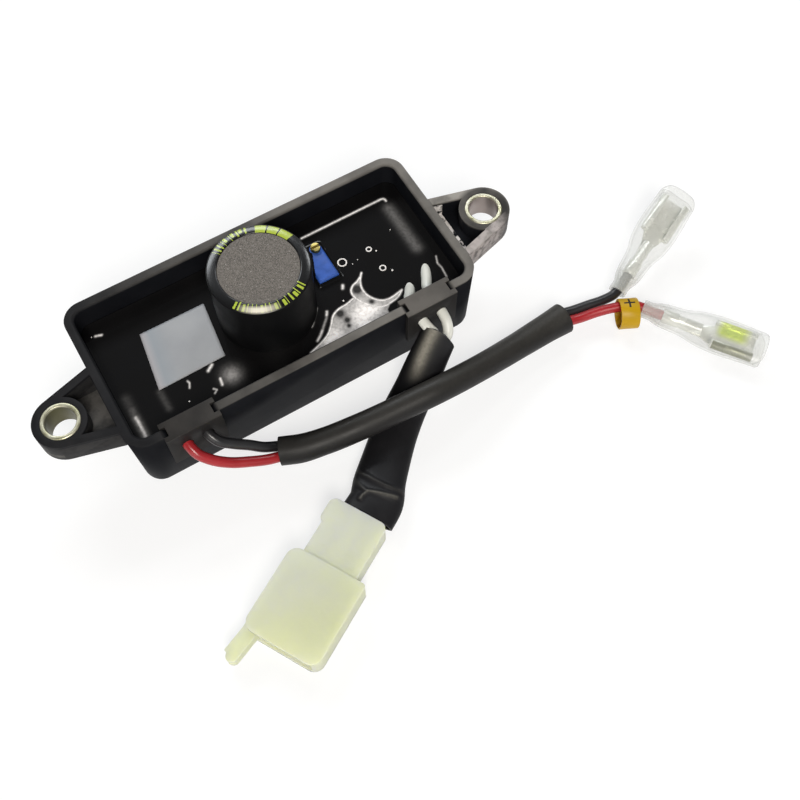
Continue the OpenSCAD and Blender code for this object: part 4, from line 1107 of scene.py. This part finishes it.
BOOT_X = (0, 2, 3.8, 10.6, 12.7, 14.8, 25.6, 28.6)
BOOT_RX = (2.1, 2.1, 2.72, 3.65, 4.33, 4.7, 4.7, 4.6)
BOOT_RY = (2.1, 2.1, 2.25, 2.25, 2.3, 2.35, 2.35, 2.25)
BOOT_WALL = 0.5
BOOT_SIDES = 48
MOUTH_BACK, MOUTH_BACK_FROM = 1.9, 20
NECK_MILKY, MILKY_TO = 2.0, 9.0
MILKY_MOUTH, MILKY_FROM = 0.6, 23.0


def boot_finish():
    """Clear soft vinyl: nearly see-through face on, milky where it is seen edge on and at its neck."""
    material, tree, shader = finish("clear_vinyl", Specular_IOR_Level=0.5)
    broad = grain(tree, 900.0, 200.0)[1]
    facing = add(tree, "ShaderNodeLayerWeight", {"Blend": 0.35}).outputs["Facing"]
    milky = painted(tree, "milky")
    put(shader, "Base Color", tint(tree, broad, (0.72, 0.73, 0.69), (0.86, 0.87, 0.83)))
    cover = remap(tree, facing, 0.05, 0.95, 0.11, 0.3)
    put(shader, "Alpha", calc(tree, "ADD", cover, times(tree, milky, 0.2), clamp=True))
    put(shader, "Roughness", spread(tree, broad, 0.1, 0.2))
    raise_bump(tree, shader, broad, 0.0001)
    return material


CLEAR = boot_finish()


def make_boot(name, node, origin, axes):
    """A tube whose oval section goes from a round neck to a flat mouth: half width and half height
    are smooth curves along it, and the sides of the mouth are drawn back."""
    x = smooth_line(np.stack([BOOT_X, BOOT_RX, BOOT_RY], axis=-1), 6)
    a = full_turn(BOOT_SIDES)

    def shell(inset):
        drawn = MOUTH_BACK * np.abs(np.cos(a)) ** 6 * step_up(x[:, :1], MOUTH_BACK_FROM, BOOT_X[-1])
        wide = np.multiply.outer(x[:, 1] - inset, np.cos(a))
        high = np.multiply.outer(x[:, 2] - inset, np.sin(a))
        own = np.stack([x[:, :1] - drawn, wide, high], axis=-1)
        return origin + own @ axes.T

    mesh = skin(name, walled(shell(0), shell(BOOT_WALL)), ends=False)
    gone = np.concatenate([x[:, 0], x[::-1, 0], x[:1, 0]])
    milky = 1 - step_up(gone, NECK_MILKY, MILKY_TO) + MILKY_MOUTH * step_up(gone, MILKY_FROM, BOOT_X[-1])
    paint(mesh, "milky", np.repeat(milky, len(a)))
    return dress(mesh, name, CLEAR, [node])


red_boot = make_boot("red_boot_tube", "red_boot", RED_BOOT_P, RED_BOOT_AXES)
black_boot = make_boot("black_boot_tube", "black_boot", BLACK_BOOT_P, BLACK_BOOT_AXES)
# Where the painted reflection and the painted shade on the red lead's terminal fade in and out, along the
# boot and across it
TINT_START, TINT_STOP = (17.0, 18.5), (23.0, 25.0)
TINT_NEAR, TINT_FAR = (-0.2, 1.4), (3.6, 4.0)
OLIVE = (-2.6, -2.0)


def tin_with_painted_light():
    """Tin plate with a painted yellow-green reflection over one patch of the flat and painted olive shade
    down its near side, by distance along and across the boot."""
    material = TIN.copy()
    material.name = "tin_plate_painted_light"
    tree = material.node_tree
    shader = tree.nodes["Principled BSDF"]
    plain = shader.inputs["Base Color"].links[0].from_socket
    moved = vector(tree, "SUBTRACT", place(tree), [v * MM for v in RED_BOOT_P])[0]
    gone, aside = (vector(tree, "DOT_PRODUCT", moved, [v / MM for v in RED_BOOT_AXES[:, axis]])["Value"]
                   for axis in (0, 1))
    ends = times(tree, remap(tree, gone, *TINT_START, 0.0, 1.0), remap(tree, gone, *TINT_STOP, 1.0, 0.0))
    sides = times(tree, remap(tree, aside, *TINT_NEAR, 0.0, 1.0), remap(tree, aside, *TINT_FAR, 1.0, 0.0))
    # Painted reflection: a yellow-green patch on the flat; painted shade: olive down the near side
    cast = tint(tree, times(tree, ends, sides), plain, (0.78, 0.9, 0.1))
    near = times(tree, remap(tree, aside, *OLIVE, 1.0, 0.0),
                 calc(tree, "GREATER_THAN", gone, TINT_START[0]))
    put(shader, "Base Color", tint(tree, near, cast, (0.2, 0.21, 0.12)))
    return material


red_spade = soften("red_spade", "red_spade_terminal", tin_with_painted_light(), 0.06, 2)
black_spade = soften("black_spade", "black_spade_terminal", TIN, 0.06, 2)

PLUS_ARM = 1.25
PLUS_HALF = 0.22
PLUS_UP = 0.9
MARKER_TURN = math.radians(-26)


def marker_finish():
    """Yellow marker tube with a plain plus sign printed on its upper side."""
    material, tree, shader = finish("marker_tube", Specular_IOR_Level=0.25)
    middle = (MARKER_LOW + MARKER_HIGH) / 2
    shift = add(tree, "ShaderNodeMapping", {"Vector": place(tree)}, vector_type="TEXTURE")
    shift.inputs["Location"].default_value = [v * MM for v in middle]
    shift.inputs["Rotation"].default_value = (0, 0, MARKER_TURN)
    parts = xyz(tree, shift.outputs[0])
    u = calc(tree, "ABSOLUTE", parts["X"])
    v = calc(tree, "ABSOLUTE", calc(tree, "SUBTRACT", parts["Y"], PLUS_UP * MM))
    bar, post = (
        times(tree, calc(tree, "LESS_THAN", p, PLUS_ARM * MM), calc(tree, "LESS_THAN", q, PLUS_HALF * MM))
        for p, q in ((u, v), (v, u)))
    upper = calc(tree, "GREATER_THAN", parts["Z"], 0.0)
    plus = times(tree, calc(tree, "MAXIMUM", bar, post), upper)
    fine, broad = grain(tree, 1800.0, 240.0)
    yellow = tint(tree, broad, (0.5, 0.295, 0.006), (0.6, 0.36, 0.011))
    put(shader, "Base Color", tint(tree, plus, yellow, (0.02, 0.018, 0.015)))
    put(shader, "Roughness", spread(tree, broad, 0.32, 0.45))
    raise_bump(tree, shader, fine, 0.00003)
    return material


marker = soften("marker", "marker_ring", marker_finish(), 0.12)

# Pieces that the resin hides

HIDDEN = drifting("moulded_epoxy", (0.02, 0.02, 0.022), (0.04, 0.04, 0.042), (0.4, 0.6))
LAMINATE = drifting("laminate", (0.22, 0.14, 0.05), (0.36, 0.25, 0.11), (0.4, 0.6))
for hidden in ("rectifier", "power_transistor", "small_transistor", "diode_far", "diode_near", "can_bung"):
    keep(hidden, HIDDEN)
for hidden in ("board", "film_capacitor", "resistor_left", "resistor_right"):
    keep(hidden, LAMINATE)

# Floor and light

FLOOR_HALF, FLOOR_Z = 3.0, -2e-5
FADE_FROM, FADE_TO = 0.2, 0.6
WARM = (1.0, 0.96, 0.9)
COOL = (0.93, 0.97, 1.0)
# Lamps: name, place and size in metres, power and colour
LAMPS = (
    ("key", (-0.15, -0.47, 0.63), (0.3, 0.3), 4.1, WARM),
    ("window", (0.05, 0.444, 0.409), (0.4, 0.14), 1.6, COOL),
    ("side", (0.34, 0.23, 0.44), (0.1, 0.1), 0.4, COOL),
    ("fill", (-0.15, -0.75, 0.4), (0.6, 0.4), 0.5, COOL),
    ("left", (-0.54, -0.43, 0.17), (0.3, 0.2), 0.5, WARM))
LAMP_AIM = (0.01, -0.01, 0.01)
SKY_LOW, SKY_HIGH, SKY_TOP = 0.42, 0.06, 0.8


def seen_directly(tree):
    """1 for what the camera sees, straight or in a reflection or through something clear."""
    path = add(tree, "ShaderNodeLightPath").outputs
    mirrored = calc(tree, "MAXIMUM", path["Is Glossy Ray"], path["Is Transmission Ray"])
    return calc(tree, "MAXIMUM", path["Is Camera Ray"], mirrored)


def make_floor():
    """A wide pale floor that shows white, keeps a faint shadow and fades to plain white far out."""
    material = bpy.data.materials.new("pale_floor")
    material.use_nodes = True
    tree = material.node_tree
    tree.nodes.clear()
    lit = add(tree, "ShaderNodeBsdfDiffuse", {"Color": (0.8, 0.8, 0.8, 1)})
    faint = add(tree, "ShaderNodeBsdfDiffuse", {"Color": (0.32, 0.32, 0.32, 1)})
    glow = add(tree, "ShaderNodeEmission", {"Color": (1, 1, 1, 1), "Strength": 0.72})
    shown = add(tree, "ShaderNodeAddShader", {0: faint.outputs[0], 1: glow.outputs[0]})
    away = vector(tree, "LENGTH", place(tree))["Value"]
    far = times(tree, remap(tree, away, FADE_FROM, FADE_TO, 0.0, 1.0),
                add(tree, "ShaderNodeLightPath").outputs["Is Camera Ray"])
    white = add(tree, "ShaderNodeEmission", {"Color": (1, 1, 1, 1), "Strength": 1.0})
    shown = add(tree, "ShaderNodeMixShader", {0: far, 1: shown.outputs[0], 2: white.outputs[0]})
    mix = add(tree, "ShaderNodeMixShader", {0: seen_directly(tree), 1: lit.outputs[0], 2: shown.outputs[0]})
    out = add(tree, "ShaderNodeOutputMaterial")
    put(out, "Surface", mix.outputs[0])
    h, z = FLOOR_HALF, FLOOR_Z
    mesh = bpy.data.meshes.new("floor")
    mesh.from_pydata([(-h, -h, z), (h, -h, z), (h, h, z), (-h, h, z)], [], [(0, 1, 2, 3)])
    mesh.materials.append(material)
    floor = bpy.data.objects.new("floor", mesh)
    scene.collection.objects.link(floor)


def make_lamp(name, at, size, power, color):
    """A flat lamp, wide and high as given, that faces the part."""
    data = bpy.data.lights.new(name, "AREA")
    data.shape = "RECTANGLE"
    data.size, data.size_y = size
    data.energy = power
    data.color = color
    lamp = bpy.data.objects.new(name, data)
    lamp.location = at
    lamp.rotation_euler = (Vector(LAMP_AIM) - Vector(at)).to_track_quat("-Z", "Y").to_euler()
    scene.collection.objects.link(lamp)


def make_world():
    """Soft light from all round, dim overhead and brighter low down, and white where the camera
    looks past the floor."""
    world = bpy.data.worlds.new("soft_room")
    scene.world = world
    world.use_nodes = True
    tree = world.node_tree
    tree.nodes.clear()
    up = xyz(tree, add(tree, "ShaderNodeTexCoord").outputs["Generated"])
    strength = remap(tree, up["Z"], 0.0, SKY_TOP, SKY_LOW, SKY_HIGH)
    direct = add(tree, "ShaderNodeLightPath").outputs["Is Camera Ray"]
    sky = add(tree, "ShaderNodeBackground", {"Color": (0.96, 0.98, 1.0, 1), "Strength": strength})
    white = add(tree, "ShaderNodeBackground", {"Color": (1, 1, 1, 1), "Strength": 1.0})
    mix = add(tree, "ShaderNodeMixShader", {0: direct, 1: sky.outputs[0], 2: white.outputs[0]})
    out = add(tree, "ShaderNodeOutputWorld")
    put(out, "Surface", mix.outputs[0])


make_floor()
make_world()
for lamp in LAMPS:
    make_lamp(*lamp)
scene.view_settings.view_transform = "Standard"
